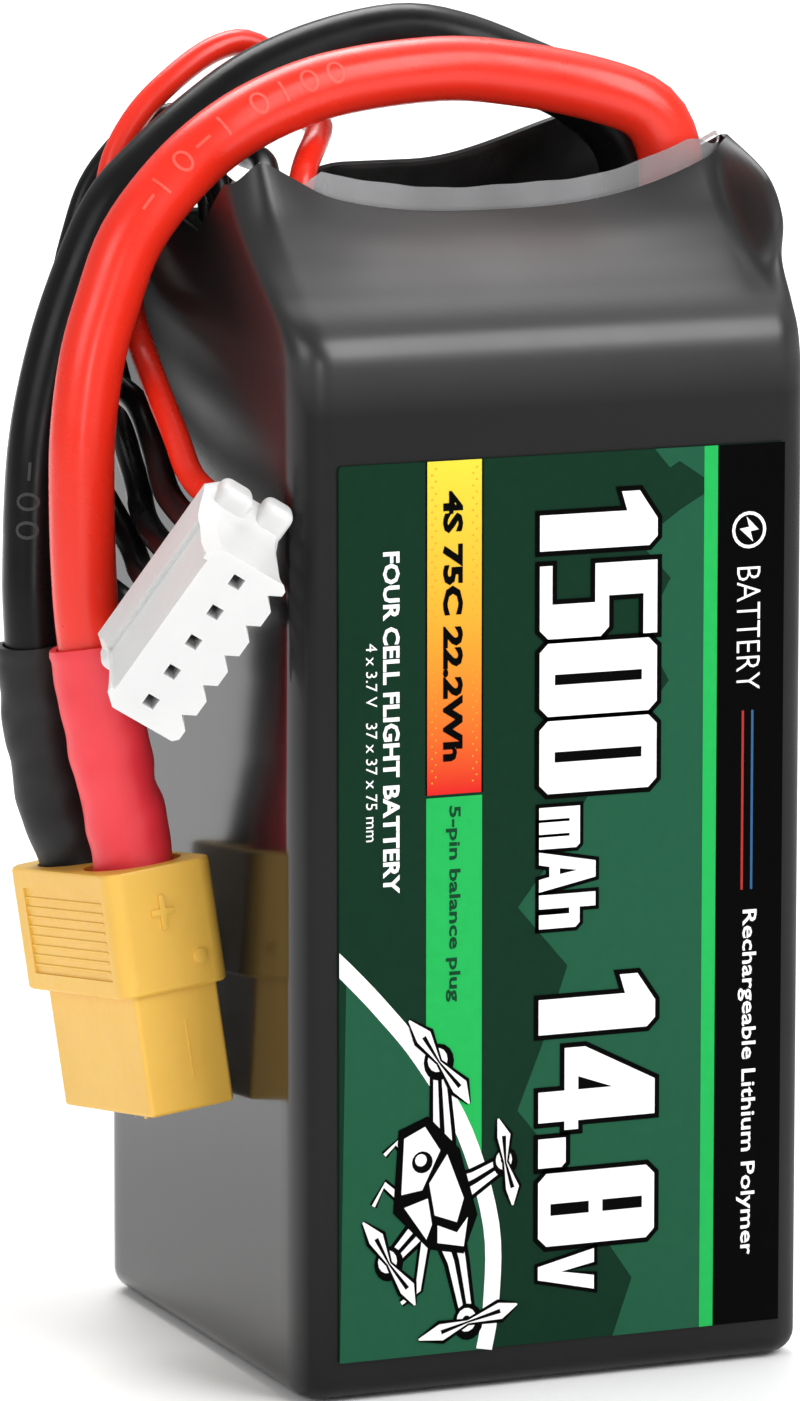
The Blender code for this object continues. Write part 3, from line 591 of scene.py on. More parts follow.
def fold_ring(at, ear_size):
    share = at / (len(FOLD) - 1)
    fold = curve_value(FOLD, at)
    ear_fold = curve_value(EAR, at)
    radius = EDGE_RADIUS + (LIP_RADIUS - EDGE_RADIUS) * share
    half_x = PACK_WIDTH / 2 * (1 - SIDE_LEAN * share)
    straight = rounded_ring(PACK_WIDTH / 2, PACK_DEPTH / 2, EDGE_RADIUS)
    narrowed = rounded_ring(half_x, PACK_DEPTH / 2 - fold[0], radius)
    return [fold_point(base, flat, fold, ear_fold, ear_size) for base, flat in zip(straight, narrowed)]


def wrap_rings(ear_size=1.0):
    half_x = PACK_WIDTH / 2
    half_y = PACK_DEPTH / 2
    window = FOOT_WINDOW / 2
    rings = []
    for share in (0.0, 0.5, 1.0):
        reach_x = window + (half_x - FOOT_RADIUS - window) * share
        reach_y = window + (half_y - FOOT_RADIUS - window) * share
        radius = EDGE_RADIUS - FOOT_RADIUS * share
        rings.append([(x, y, 0.0) for x, y in rounded_ring(reach_x, reach_y, radius)])
    for angle in (15, 30, 45, 60, 75, 90):
        inset = FOOT_RADIUS * (1 - math.sin(math.radians(angle)))
        z = FOOT_RADIUS * (1 - math.cos(math.radians(angle)))
        ring = rounded_ring(half_x - inset, half_y - inset, EDGE_RADIUS - inset)
        rings.append([(x, y, z) for x, y in ring])
    base = rounded_ring(half_x, half_y, EDGE_RADIUS)
    for z in (4, 10, 20, 30, 40, 50, 58, 64, 66):
        rings.append([(x, y, z) for x, y in base])
    steps = FOLD_STEPS * (len(FOLD) - 1)
    rings += [fold_ring(step / FOLD_STEPS, ear_size) for step in range(steps + 1)]
    return [[Vector(point) for point in ring] for ring in rings]


def offset_rings(rings, distance):
    moved = []
    for level, ring in enumerate(rings):
        below = rings[max(level - 1, 0)]
        above = rings[min(level + 1, len(rings) - 1)]
        count = len(ring)
        row = []
        for step, point in enumerate(ring):
            around = ring[(step + 1) % count] - ring[step - 1]
            along = above[step] - below[step]
            row.append(point - around.cross(along).normalized() * distance)
        moved.append(row)
    return moved


def make_wrap(shaders):
    outer = wrap_rings()
    inner = offset_rings(outer, WRAP_WALL)
    count = len(outer[0])
    faces = shell_faces(count, len(outer))
    owner = [1 if min(face) >= count * len(outer) else 0 for face in faces]
    wrap = mesh_object("wrap_skin", all_points(outer + inner), faces,
                       [shaders["wrap"], shaders["wrap_inside"]], face_shader=owner, sharp=50)
    add_piece(wrap, "wrap", "outer_wrap")


def film_strip_point(point, rise):
    """Where a point of the film's lip goes as the strip above it stands up at the front."""
    front = smooth_step(*FILM_FRONT_SPAN, -point.y) * (1 - smooth_step(*FILM_LEFT_SPAN, -point.x))
    front *= 1 - smooth_step(*FILM_RIGHT_SPAN, point.x)
    wave = 0.06 * math.sin(point.x * 0.6) + 0.03 * math.sin(point.x * 1.7 + 1)
    lift = FILM_RISE + (FILM_STAND + wave) * front
    return point + Vector((0.0, FILM_LEAN * front * rise, lift * rise))


def make_film(shaders):
    """The clear film in the mouth, a little above the front lip."""
    rings = wrap_rings(0.0)
    fold_start = len(rings) - FOLD_STEPS * (len(FOLD) - 1) - 1
    film = offset_rings(rings, FILM_INSET)[fold_start:]
    lip = film[-1]
    strip_start = len(film) - 1
    film += [[film_strip_point(point, rise) for point in lip] for rise in (0.25, 0.5, 0.75, 1.0)]
    points = all_points(film + offset_rings(film, FILM_WALL))
    count = len(lip)
    faces = shell_faces(count, len(film))
    # The front of the strip takes the grey film with its painted reflection; the rest takes the nearly clear
    # film
    owner = []
    for face in faces:
        level = min(index % (count * len(film)) for index in face) // count
        middle_y = sum(points[index].y for index in face) / len(face)
        owner.append(1 if level >= strip_start and middle_y < FILM_SHEEN_BACK else 0)
    piece = mesh_object("clear_inner_film", points, faces, [shaders["film"], shaders["film_sheen"]],
                        face_shader=owner, sharp=50)
    add_piece(piece, "film", "inner_film")


# ---------------------------------------------------------------- label
def make_label(shaders):
    """The label film, a thin sheet with small corner radii and a rounded rim."""
    centre_x = (LABEL_LEFT + LABEL_RIGHT) / 2
    centre_z = (LABEL_FOOT + LABEL_TOP) / 2
    half_x = (LABEL_RIGHT - LABEL_LEFT) / 2
    half_z = (LABEL_TOP - LABEL_FOOT) / 2
    rings = []
    for inset, y in ((0.0, -PACK_DEPTH / 2 - 0.02), (0.0, LABEL_FACE + 0.05), (0.05, LABEL_FACE),
                     (0.2, LABEL_FACE)):
        ring = rounded_ring(half_x - inset, half_z - inset, LABEL_CORNER - inset)
        rings.append([(centre_x + across, y, centre_z + up) for across, up in ring])
    label = mesh_object("label_film", all_points(rings), stack_faces(len(rings[0]), len(rings)),
                        [shaders["dark_green"]], sharp=30)
    add_piece(label, "label", "front_label")


def offset_outline(outline, distance):
    """A closed outline grown by a distance, with mitred corners."""
    corners = [Vector(point) for point in outline]
    earlier = [corners[-1], *corners[:-1]]
    later = [*corners[1:], corners[0]]
    area = sum(before.x * here.y - here.x * before.y for before, here in zip(earlier, corners))
    outward = 1 if area > 0 else -1
    grown = []
    for before, here, after in zip(earlier, corners, later):
        edges = (here - before, after - here)
        first, second = [Vector((edge.y, -edge.x)).normalized() * outward for edge in edges]
        bisector = (first + second).normalized()
        reach = min(distance / max(0.3, bisector.dot(first)), distance * 1.8)
        grown.append(tuple(here + bisector * reach))
    return grown


class Print:
    """Flat ink shapes laid on the label in thin layers; a higher layer lies on top."""

    def __init__(self, shaders):
        self.shaders = shaders
        self.inks = []
        self.points = []
        self.faces = []
        self.owner = []

    def lay(self, points, faces, ink, layer):
        """Faces between (x, z) points in millimetres."""
        if ink not in self.inks:
            self.inks.append(ink)
        start = len(self.points)
        self.points += [(x, LABEL_FACE - INK_STEP * layer, z) for x, z in points]
        self.faces += [tuple(start + index for index in face) for face in faces]
        self.owner += [self.inks.index(ink)] * len(faces)

    def add(self, outline, ink, layer):
        self.lay(outline, [range(len(outline))], ink, layer)

    def bar(self, low, high, ink, layer):
        self.add((low, (high[0], low[1]), high, (low[0], high[1])), ink, layer)

    def disc(self, centre, radius, ink, layer, squash=1.0, sides=20):
        self.add(circle(centre, radius, sides, squash), ink, layer)

    def ring(self, centre, radius, width, ink, layer, sides=20):
        inner = circle(centre, radius - width, sides)
        outer = circle(centre, radius, sides)
        for step in range(sides):
            self.add((inner[step - 1], outer[step - 1], outer[step], inner[step]), ink, layer)

    def band(self, line, widths, ink, layer):
        """A ribbon along a line of points, with a width at each."""
        line = [Vector(point) for point in line]
        edges = []
        for before, here, after, width in zip([line[0], *line], line, [*line[1:], line[-1]], widths):
            along = (after - before).normalized()
            side = Vector((-along.y, along.x)) * width / 2
            edges.append((here + side, here - side))
        for (left, right), (next_left, next_right) in zip(edges, edges[1:]):
            self.add((left, right, next_right, next_left), ink, layer)

    def glyph(self, outline, slots, top_z, base_x, scale, rim, layer):
        """A block letter that reads downward, white with a black rim."""
        shapes = []
        for shape in (outline, *slots):
            shapes.append([(base_x + height * scale, top_z - advance * scale) for advance, height in shape])
        self.add(offset_outline(shapes[0], rim), "black", layer)
        self.add(shapes[0], "white", layer + 1)
        for slot in shapes[1:]:
            self.add(slot, "black", layer + 2)

    def words(self, text, top_z, base_x, height, length, ink, layer, weight=0.0):
        """Small plain lettering that reads downward, fitted to a length."""
        curve = bpy.data.curves.new("words", "FONT")
        curve.body = text
        curve.size = 1.0
        curve.offset = weight
        curve.resolution_u = 2
        carrier = new_object("words", curve)
        bpy.context.view_layer.update()
        mesh = bpy.data.meshes.new_from_object(carrier.evaluated_get(bpy.context.evaluated_depsgraph_get()))
        bpy.data.objects.remove(carrier)
        low_x, high_x = (pick(vertex.co.x for vertex in mesh.vertices) for pick in (min, max))
        low_y, high_y = (pick(vertex.co.y for vertex in mesh.vertices) for pick in (min, max))
        along = length / (high_x - low_x)
        up = height / (high_y - low_y)
        points = [(base_x + (vertex.co.y - low_y) * up, top_z - (vertex.co.x - low_x) * along)
                  for vertex in mesh.vertices]
        self.lay(points, [polygon.vertices for polygon in mesh.polygons], ink, layer)
        bpy.data.meshes.remove(mesh)

    def finish(self):
        mesh = bpy.data.meshes.new("label_print")
        mesh.from_pydata([Vector(point) * MM for point in self.points], [], self.faces)
        for ink in self.inks:
            mesh.materials.append(self.shaders[ink].material)
        for polygon, index in zip(mesh.polygons, self.owner):
            polygon.material_index = index
            if polygon.normal.y > 0:
                polygon.flip()
        add_piece(new_object("label_print", mesh), "label")


# Block glyphs about 5 x 8.5: an outline of (advance, height) points and the black slots on it
GLYPHS = {
    "1": (((1.3, 0), (3.7, 0), (3.7, 7.9), (3.1, 8.5), (1.9, 8.5), (0.0, 7.2), (0.0, 5.9), (1.3, 6.3)), ()),
    "5": (((0.0, 0.9), (0.0, 0.0), (4.3, 0.0), (4.9, 0.6), (4.9, 4.4), (4.3, 5.0), (2.2, 5.0), (2.2, 7.5),
           (4.9, 7.5), (4.9, 8.5), (0.0, 8.5), (0.0, 4.0), (2.6, 4.0), (2.6, 0.9)), ()),
    "0": (((0.6, 0), (4.3, 0), (4.9, 0.6), (4.9, 7.9), (4.3, 8.5), (0.6, 8.5), (0.0, 7.9), (0.0, 0.6)),
          (((2.1, 1.1), (2.8, 1.1), (2.8, 7.4), (2.1, 7.4)),)),
    "4": (((2.9, 0), (5.0, 0), (5.0, 1.9), (5.6, 1.9), (5.6, 2.9), (5.0, 2.9), (5.0, 8.5), (2.6, 8.5),
           (0.0, 3.4), (0.0, 1.9), (2.9, 1.9)),
          (((2.0, 2.9), (2.9, 2.9), (2.9, 5.4)),)),
    ".": (((0.0, 0), (2.0, 0), (2.0, 1.7), (1.7, 2.0), (0.0, 2.0)), ()),
    "8": (((0.6, 0), (4.4, 0), (5.0, 0.6), (5.0, 7.9), (4.4, 8.5), (0.6, 8.5), (0.0, 7.9), (0.0, 0.6)),
          (((2.1, 0.9), (2.9, 0.9), (2.9, 3.7), (2.1, 3.7)),
           ((2.1, 4.7), (2.9, 4.7), (2.9, 7.6), (2.1, 7.6)))),
    "m": (((0.0, 0), (1.6, 0), (1.6, 4.4), (2.0, 4.4), (2.0, 0), (3.6, 0), (3.6, 4.4), (4.0, 4.4), (4.0, 0),
           (5.6, 0), (5.6, 5.4), (5.1, 5.9), (0.0, 5.9)), ()),
    "A": (((0.0, 0), (1.7, 0), (2.0, 1.5), (3.4, 1.5), (3.7, 0), (5.4, 0), (3.8, 8.2), (1.6, 8.2)),
          (((2.3, 3.0), (3.1, 3.0), (2.7, 5.6)),)),
    "h": (((0.0, 0), (1.9, 0), (1.9, 4.4), (2.7, 4.4), (2.7, 0), (4.6, 0), (4.6, 5.3), (4.0, 5.9),
           (1.9, 5.9), (1.9, 8.2), (0.0, 8.2)), ()),
    "V": (((1.9, 0), (3.7, 0), (5.6, 8.2), (3.7, 8.2), (2.8, 3.4), (1.9, 8.2), (0.0, 8.2)), ()),
}
# The rating's figures and units with the height each starts at
FIGURES = (("1", 60.1), ("5", 55.4), ("0", 50.2), ("0", 45.0),
           ("1", 27.5), ("4", 22.8), (".", 16.7), ("8", 14.3))
UNITS = (("m", 39.2), ("A", 36.2), ("h", 33.3), ("V", 8.9))


def add_rating(ink):
    """The rating, in plain block figures that read downward."""
    for group, scale, rim in ((FIGURES, 1.0, 0.34), (UNITS, 0.5, 0.26)):
        for text, top in group:
            ink.glyph(*GLYPHS[text], top, BASELINE_X, scale, rim, 6)


# Where the bands along the label's right side start, the sunset stripe's two sides, and the sweep
BAND_X = 10.4
SUNSET_X = (-9.6, -5.6)
SWEEP = ((-15.3, 29.17), (-12.9, 26.6), (-9.9, 22.9), (-6.8, 17.6), (-4.9, 11.2), (-4.9, 5.8),
         (-5.4, LABEL_FOOT))
SWEEP_STEPS = 30


def arc_line(points, count):
    """A smooth line through a few given points."""
    steps = [(len(points) - 1) * i / count for i in range(count + 1)]
    return [curve_value(points, at) for at in steps]


def add_background(ink):
    """Own decoration: two pieces of a ridge line and a field below a sweep."""
    ink.add(((BAND_X, 59.6), (8.6, 58.6), (5.7, 56.6), (8.0, 54.1), (6.0, 50.6), (7.9, 47.2), (2.8, 41.0),
             (-0.4, 35.9), (-3.0, 32.6), (0.6, 28.4), (-1.2, 23.2), (-3.0, 18.8), (0.9, 14.0), (3.2, 9.8),
             (5.4, 6.6), (4.0, LABEL_FOOT), (BAND_X, LABEL_FOOT)), "mid_green", 1)
    ink.add(((6.8, LABEL_TOP), (7.9, 61.5), (8.6, 61.9), (BAND_X, 60.7), (BAND_X, LABEL_TOP)), "mid_green", 1)
    sweep = arc_line(SWEEP, SWEEP_STEPS)
    ink.add([(LABEL_LEFT, LABEL_FOOT), *reversed(sweep)], "mid_green", 2)
    ink.band(sweep, [1.2 - 0.05 * step / SWEEP_STEPS for step in range(SWEEP_STEPS + 1)], "white", 4)
    ink.add(((LABEL_LEFT, 30.5), (-14.86, 29.58), (-15.74, 28.76), (LABEL_LEFT, 28.8)), "white", 4)


def add_stripes(ink):
    """The sunset stripe with its rims and dots, the bands along the right side and two thin lines."""
    left, right = SUNSET_X
    ink.bar((left, SUNSET_FOOT), (right, LABEL_TOP), "sunset", 2)
    for x in (left, right):
        ink.bar((x - 0.06, SUNSET_FOOT), (x + 0.06, LABEL_TOP), "black", 3)
    ink.add(((left, 40.4), (left, 22.6), (-8.0, 20.2), (-6.6, 17.5), (right, 14.8), (right, 40.4)),
            "bright_green", 1)
    ink.bar((BAND_X, LABEL_FOOT), (BAND_X + 1.0, LABEL_TOP), "bright_green", 3)
    ink.bar((BAND_X + 1.0, LABEL_FOOT), (LABEL_RIGHT, LABEL_TOP), "black", 3)
    for x, tone in ((13.25, "line_red"), (13.95, "line_blue")):
        ink.bar((x, 32.6), (x + 0.17, 44.8), tone, 5)
    for row in range(26):
        for column in range(4):
            x = -9.2 + column * 0.26 + 2.4 * (column > 1)
            ink.disc((x, 41.4 + row * 0.82 + 0.4 * (column % 2)), 0.07, "dots", 4, sides=6)


def edged_band(ink, line, wide, narrow, layer):
    """A pale band on a wider black one."""
    ink.band(line, wide, "black", layer)
    ink.band(line, narrow, "pale", layer + 1)


# Each rotor: centre, size and the lean of its blades in degrees
ROTORS = (((-8.7, 22.6), 1.15, 126), ((-3.9, 15.4), 0.95, 100),
          ((-12.3, 9.2), 1.1, 122), ((-6.6, 4.7), 1.15, 14))
HUB = (-8.7, 13.2)
LEGS = (
    ((-10.2, 12.4), (-12.6, 14.6), (-13.4, 13.2)),
    ((-9.6, 11.0), (-10.2, 7.2), (-11.4, 6.4)),
    ((-9.9, 15.2), (-11.7, 17.4), (-12.6, 16.6)),
)
BODY = ((-11.6, 18.2), (-9.5, 19.0), (-7.2, 16.6), (-5.9, 12.0), (-6.9, 9.4), (-9.4, 9.9), (-12.0, 12.6))
BODY_PANELS = (
    ((-11.2, 17.6), (-9.7, 18.3), (-8.6, 16.6), (-9.9, 14.0), (-11.4, 13.8)),
    ((-9.4, 14.4), (-8.1, 16.3), (-6.9, 13.2), (-7.4, 11.6), (-9.0, 12.2)),
    ((-11.2, 12.9), (-9.5, 13.4), (-9.2, 11.6), (-9.6, 10.6)),
    ((-8.8, 11.5), (-7.4, 10.9), (-6.6, 11.9), (-6.9, 9.9), (-8.8, 10.3)),
)
BLADE_REACH = 3.2


def add_craft(ink):
    """A four-rotor craft of its own design: heavy arms, legs and a canopy."""
    for (x, z), size, lean in ROTORS:
        line = (HUB, ((HUB[0] + x) / 2 + 0.25, (HUB[1] + z) / 2), (x, z))
        edged_band(ink, line, (3.0, 1.9, 1.3), (2.5, 1.3, 0.8), 5)
        ink.band(line, (0.5, 0.35, 0.25), "black", 7)
    for leg in LEGS:
        edged_band(ink, leg, (1.0, 0.8, 0.6), (0.55, 0.4, 0.25), 5)
    ink.add(BODY, "black", 8)
    for panel in BODY_PANELS:
        ink.add(panel, "pale", 9)
    ink.disc((-9.9, 15.9), 0.75, "black", 10, sides=16)
    ink.disc((-10.0, 16.05), 0.42, "pale", 11, sides=14)
    for centre, size, lean in ROTORS:
        add_rotor(ink, centre, size, math.radians(lean))


def add_rotor(ink, centre, size, lean):
    """A motor pot with two blades."""
    x, z = centre
    pot = (x - 0.1, z + 0.15)
    ink.disc(centre, 0.95 * size, "black", 8, 1.15, 16)
    ink.disc(pot, 0.62 * size, "pale", 9, 1.15, 14)
    ink.disc(pot, 0.26 * size, "black", 10, sides=10)
    for turn in (lean, lean + math.pi):
        tip = (x + BLADE_REACH * size * math.cos(turn), z + BLADE_REACH * size * math.sin(turn))
        middle = (x * 0.4 + tip[0] * 0.6 + 0.2, z * 0.4 + tip[1] * 0.6)
        edged_band(ink, (centre, middle, tip), (0.5, 1.45 * size, 0.3), (0.2, 1.0 * size, 0.12), 11)
        ink.band((centre, middle), (0.12, 0.3), "black", 13)


def add_small_print(ink):
    """Plain descriptions, and a ring with a bolt."""
    ink.words("4S 75C 22.2Wh", 60.8, -8.45, 1.45, 18.0, "black", 5, 0.045)
    ink.words("FOUR CELL FLIGHT BATTERY", 57.0, -12.7, 1.2, 22.8, "white", 4, 0.03)
    ink.words("4 x 3.7 V   37 x 37 x 75 mm", 51.0, -13.9, 0.8, 13.2, "white", 4)
    ink.words("5-pin balance plug", 39.8, -8.2, 1.05, 13.2, "dark_text", 4, 0.025)
    ink.words("BATTERY", 54.5, 12.85, 1.7, 8.3, "white", 5, -0.01)
    ink.words("Rechargeable Lithium Polymer", 31.2, 13.1, 1.35, 23.8, "white", 5, 0.015)
    ink.ring((13.7, 57.0), 1.25, 0.22, "white", 5)
    ink.add(((13.0, 57.1), (14.0, 56.2), (13.8, 56.9), (14.4, 57.0), (13.5, 57.9), (13.7, 57.2)), "white", 5)


def make_print(shaders):
    ink = Print(shaders)
    add_background(ink)
    add_stripes(ink)
    add_rating(ink)
    add_craft(ink)
    add_small_print(ink)
    ink.finish()


# ---------------------------------------------------------------- cords
def add_cord(name, path, diameter, shader, slot, node):
    curve = bpy.data.curves.new(name, "CURVE")
    curve.dimensions = "3D"
    curve.bevel_depth = diameter / 2 * MM
    curve.bevel_resolution = 8 if diameter > 4 else 5
    curve.use_fill_caps = True
    spline = curve.splines.new("POLY")
    spline.points.add(len(path) - 1)
    for knot, point in zip(spline.points, path):
        knot.co = (*(point * MM), 1.0)
    spline.use_smooth = True
    curve.materials.append(shader.material)
    return add_piece(new_object(name, curve), slot, node)


def spokes(path, index, radius, turn):
    """The point on a cord's surface at one step and angle, where angle 0 faces +Y."""
    along = (path[min(index + 1, len(path) - 1)] - path[max(index - 1, 0)]).normalized()
    side = Vector((0.0, 1.0, 0.0))
    across = (side - along * side.dot(along)).normalized()
    third = along.cross(across)
    return path[index] + (across * math.cos(turn) + third * math.sin(turn)) * radius


# Each sleeve's tone, the phase of its waves and where along it the nip is
SLEEVES = {"positive": ("red", 0.7, 0.52), "negative": ("black", 2.9, 0.42)}
SLEEVE_RADIUS = 2.74
SLEEVE_BORE = 2.35
SLEEVE_STEP = 0.4
SLEEVE_SIDES = 40


def bell(value, centre, width):
    """A smooth bump of height 1 around its centre."""
    return math.exp(-((value - centre) / width) ** 2)


def make_sleeve(side, route, shaders):
    """A shrunk sleeve with a rolled top edge, soft waves and a nip above the plug."""
    tone, phase, nip = SLEEVES[side]
    fine = [point for point in smooth_route(route, SLEEVE_STEP) if point.z < SLEEVE_TOP_Z[side]]
    fine = fine[:-1] if len(fine) % 2 == 0 else fine
    outer = []
    inner = []
    for index in range(len(fine)):
        depth = index * SLEEVE_STEP
        roll = 0.1 * bell(depth, 0.35, 0.3)
        waist = -0.1 * bell(index / (len(fine) - 1), nip, 0.045)
        ring_out = []
        ring_in = []
        for step in range(SLEEVE_SIDES):
            turn = 2 * math.pi * step / SLEEVE_SIDES
            wave = 0.05 * math.sin(depth * 1.3 + 2 * turn + phase) + 0.035 * math.sin(depth * 2.3 - 3 * turn)
            radius = SLEEVE_RADIUS + roll + waist * (1 + 0.6 * math.sin(turn + phase))
            radius += wave * smooth_step(0, 3, depth)
            edge = Vector((0, 0, 0.12 * math.sin(turn * 2 + phase) * math.exp(-depth / 0.6)))
            ring_out.append(spokes(fine, index, radius, turn) + edge)
            ring_in.append(spokes(fine, index, SLEEVE_BORE, turn) + edge)
        outer.append(ring_out)
        inner.append(ring_in)
    sleeve = mesh_object(f"{side}_shrink_sleeve", all_points(outer + inner),
                         shell_faces(SLEEVE_SIDES, len(outer)), [shaders[f"sleeve_{tone}"]], sharp=60)
    return add_piece(sleeve, f"{tone}_sleeve", f"{side}_sleeve")


# The leads' printed marks: where they start along the lead, how far round it they are, and each mark's
# own place and kind
MARKS = {
    "positive": (32.0, 210, ((0, "ring"), (1.9, "ring"), (3.8, "dash"), (5.7, "ring"), (8.5, "dash"),
                             (10.2, "bar"), (12.0, "ring"), (14.2, "dash"), (15.6, "bar"))),
    "negative": (66.5, 215, ((0, "bar"), (2.0, "ring"), (3.9, "ring"))),
}
RING_SIDES = 16


def mark_quads(kind):
    """One mark as small quads of (along, around) corners: a ring, a dash across or a bar along."""
    if kind == "dash":
        return [((-0.1, low), (0.1, low), (0.1, low + 0.4), (-0.1, low + 0.4))
                for low in (-0.8, -0.4, 0.0, 0.4)]
    if kind == "bar":
        return [((low, -0.1), (low + 0.3, -0.1), (low + 0.3, 0.12), (low, 0.12))
                for low in (-0.6, -0.3, 0.0, 0.3)]
    turns = [2 * math.pi * step / RING_SIDES for step in range(RING_SIDES + 1)]
    outer = [(0.62 * math.cos(turn), 0.85 * math.sin(turn)) for turn in turns]
    inner = [(0.40 * math.cos(turn), 0.62 * math.sin(turn)) for turn in turns]
    return [(outer[step], inner[step], inner[step + 1], outer[step + 1]) for step in range(RING_SIDES)]


def make_cord_marks(side, path, shaders):
    """Faint generic rings, dashes and bars laid on a lead's surface."""
    start, degrees, marks = MARKS[side]
    tone = SLEEVES[side][0]
    radius = LEAD_DIAMETER / 2 + 0.015
    step_length = (path[1] - path[0]).length

    def on_surface(along, around):
        at = (start + along) / step_length
        index = min(int(at), len(path) - 2)
        turn = math.radians(degrees) + around / radius
        return spokes(path, index, radius, turn).lerp(spokes(path, index + 1, radius, turn), at - index)

    quads = [(place, quad) for place, kind in marks for quad in mark_quads(kind)]
    points = [on_surface(place + along, around) for place, quad in quads for along, around in quad]
    faces = [range(4 * index, 4 * index + 4) for index in range(len(quads))]
    item = mesh_object(f"{side}_lead_marks", points, faces, [shaders[f"mark_{tone}"]], smooth=False)
    return add_piece(item, f"{tone}_rubber")


# ---------------------------------------------------------------- plugs
def plug_frame():
    turn, lean, tilt = (math.radians(angle) for angle in PLUG_TURN)
    rotation = Matrix.Rotation(turn, 4, "Z") @ Matrix.Rotation(lean, 4, "Y") @ Matrix.Rotation(tilt, 4, "X")
    return Matrix.Translation(Vector(PLUG_ORIGIN) * MM) @ rotation


def balance_frame():
    mate = Vector(BALANCE_MATE).normalized()
    row = Vector(BALANCE_ROW)
    row = (row - mate * row.dot(mate)).normalized()
    rotation = Matrix((row, mate.cross(row), mate)).transposed().to_4x4()
    return Matrix.Translation(Vector(BALANCE_ORIGIN) * MM) @ rotation


def block(name, low, high):
    corners = [(x, y, z) for x in (low[0], high[0]) for y in (low[1], high[1]) for z in (low[2], high[2])]
    faces = ((0, 1, 3, 2), (4, 6, 7, 5), (0, 4, 5, 1), (2, 3, 7, 6), (0, 2, 6, 4), (1, 5, 7, 3))
    return new_object(name, new_mesh(name, corners, faces))


def stacked(name, rings):
    """A closed solid through a stack of matching rings."""
    return new_object(name, new_mesh(name, all_points(rings), stack_faces(len(rings[0]), len(rings))))


def prism(name, outline, axis, low, high):
    """An outline drawn out along an axis."""
    return stacked(name, [[(*pair[:axis], along, *pair[axis:]) for pair in outline] for along in (low, high)])


def contact_rods(name, radius, low, high, sides=40):
    """One upright rod at each of the power plug's two contacts."""
    return [prism(f"{name}_{side}", circle((0.0, side * CONTACT_OFFSET), radius, sides), 2, low, high)
            for side in (-1, 1)]


def soften(item, width, segments=3, angle=30):
    modifier = item.modifiers.new("Edges", "BEVEL")
    modifier.width = width * MM
    modifier.segments = segments
    modifier.limit_method = "ANGLE"
    modifier.angle_limit = math.radians(angle)


def combine(target, tools, operation):
    for tool in tools:
        modifier = target.modifiers.new(tool.name, "BOOLEAN")
        modifier.operation = operation
        modifier.object = tool
        modifier.solver = "EXACT"
    bake(target)
    for tool in tools:
        bpy.data.objects.remove(tool)


def bake(item):
    """Applies the modifiers."""
    bpy.context.view_layer.update()
    mesh = bpy.data.meshes.new_from_object(item.evaluated_get(bpy.context.evaluated_depsgraph_get()))
    item.modifiers.clear()
    item.data = mesh


def dress(item, shader, slot, matrix, node, sharp=50):
    """Sets a finished solid in place with its material and shading weighted toward its large faces."""
    bake(item)
    item.data.shade_smooth()
    item.data.set_sharp_from_angle(angle=math.radians(sharp))
    weighted = item.modifiers.new("Weighted", "WEIGHTED_NORMAL")
    weighted.keep_sharp = True
    bake(item)
    mesh = item.data
    mesh.materials.clear()
    mesh.materials.append(shader.material)
    for polygon in mesh.polygons:
        polygon.material_index = 0
    mesh.transform(matrix)
    return add_piece(item, slot, node)


CAP_HALF = (4.05, 7.95)
CAP_HEIGHT = 8.5
CAP_EDGE = 1.25
CAP_ARC_STEPS = 8
UNSPLIT_EDGES = (1, 1)
CAP_WALLS = (0.85, 0.9)
CAP_ROOF = 1.2
CAP_HOLE_RADIUS = 3.3
PANEL_Y = (-6.4, 5.6)
PANEL_DEPTH = 0.18
RIB_OUTLINE = ((-3.8, 0.0), (-3.96, 0.08), (-3.96, 0.2), (-3.8, 0.3), (-3.6, 0.3), (-3.6, 0.0))
RIB_COUNT = 8
RIB_PITCH = 0.66
RIB_TOP = -1.95
MARK_Y = (-8.13, -7.8)


def make_plug_cap(shaders):
    """The cap: a shell rounded at its upright edges, with lead holes, a ribbed panel and a plus sign."""
    half_x, half_y = CAP_HALF
    rings = []
    for z, inset in ((-CAP_HEIGHT, 0.18), (-8.32, 0.0), (-0.3, 0.0), (-0.09, 0.09), (0.0, 0.3)):
        ring = rounded_ring(half_x - inset, half_y - inset, CAP_EDGE - inset, CAP_ARC_STEPS, UNSPLIT_EDGES)
        rings.append([(x, y, z) for x, y in ring])
    cap = stacked("plug_cap", rings)
    inner_x = half_x - CAP_WALLS[0]
    inner_y = half_y - CAP_WALLS[1]
    tools = [block("hollow", (-inner_x, -inner_y, -9.5), (inner_x, inner_y, -CAP_ROOF)),
             block("panel", (-5.0, PANEL_Y[0], -7.3), (PANEL_DEPTH - half_x, PANEL_Y[1], -1.4))]
    combine(cap, tools + contact_rods("hole", CAP_HOLE_RADIUS, -2.0, 1.0, 48), "DIFFERENCE")
    extras = []
    for row in range(RIB_COUNT):
        z = RIB_TOP - row * RIB_PITCH
        outline = [(x, z - drop) for x, drop in RIB_OUTLINE]
        extras.append(prism(f"rib_{row}", outline, 1, -6.1, PANEL_Y[1]))
    extras.append(block("plus_upright", (-0.6, MARK_Y[0], -4.3), (-0.2, MARK_Y[1], -2.0)))
    extras.append(block("plus_cross", (-1.25, MARK_Y[0], -3.3), (0.45, MARK_Y[1], -2.9)))
    extras.append(prism("dot", circle((1.9, -6.5), 0.5, 24), 1, -8.1, MARK_Y[1]))
    combine(cap, extras, "UNION")
    soften(cap, 0.07, 2, 40)
    return dress(cap, shaders["plug"], "plug", plug_frame(), "power_plug_cap")


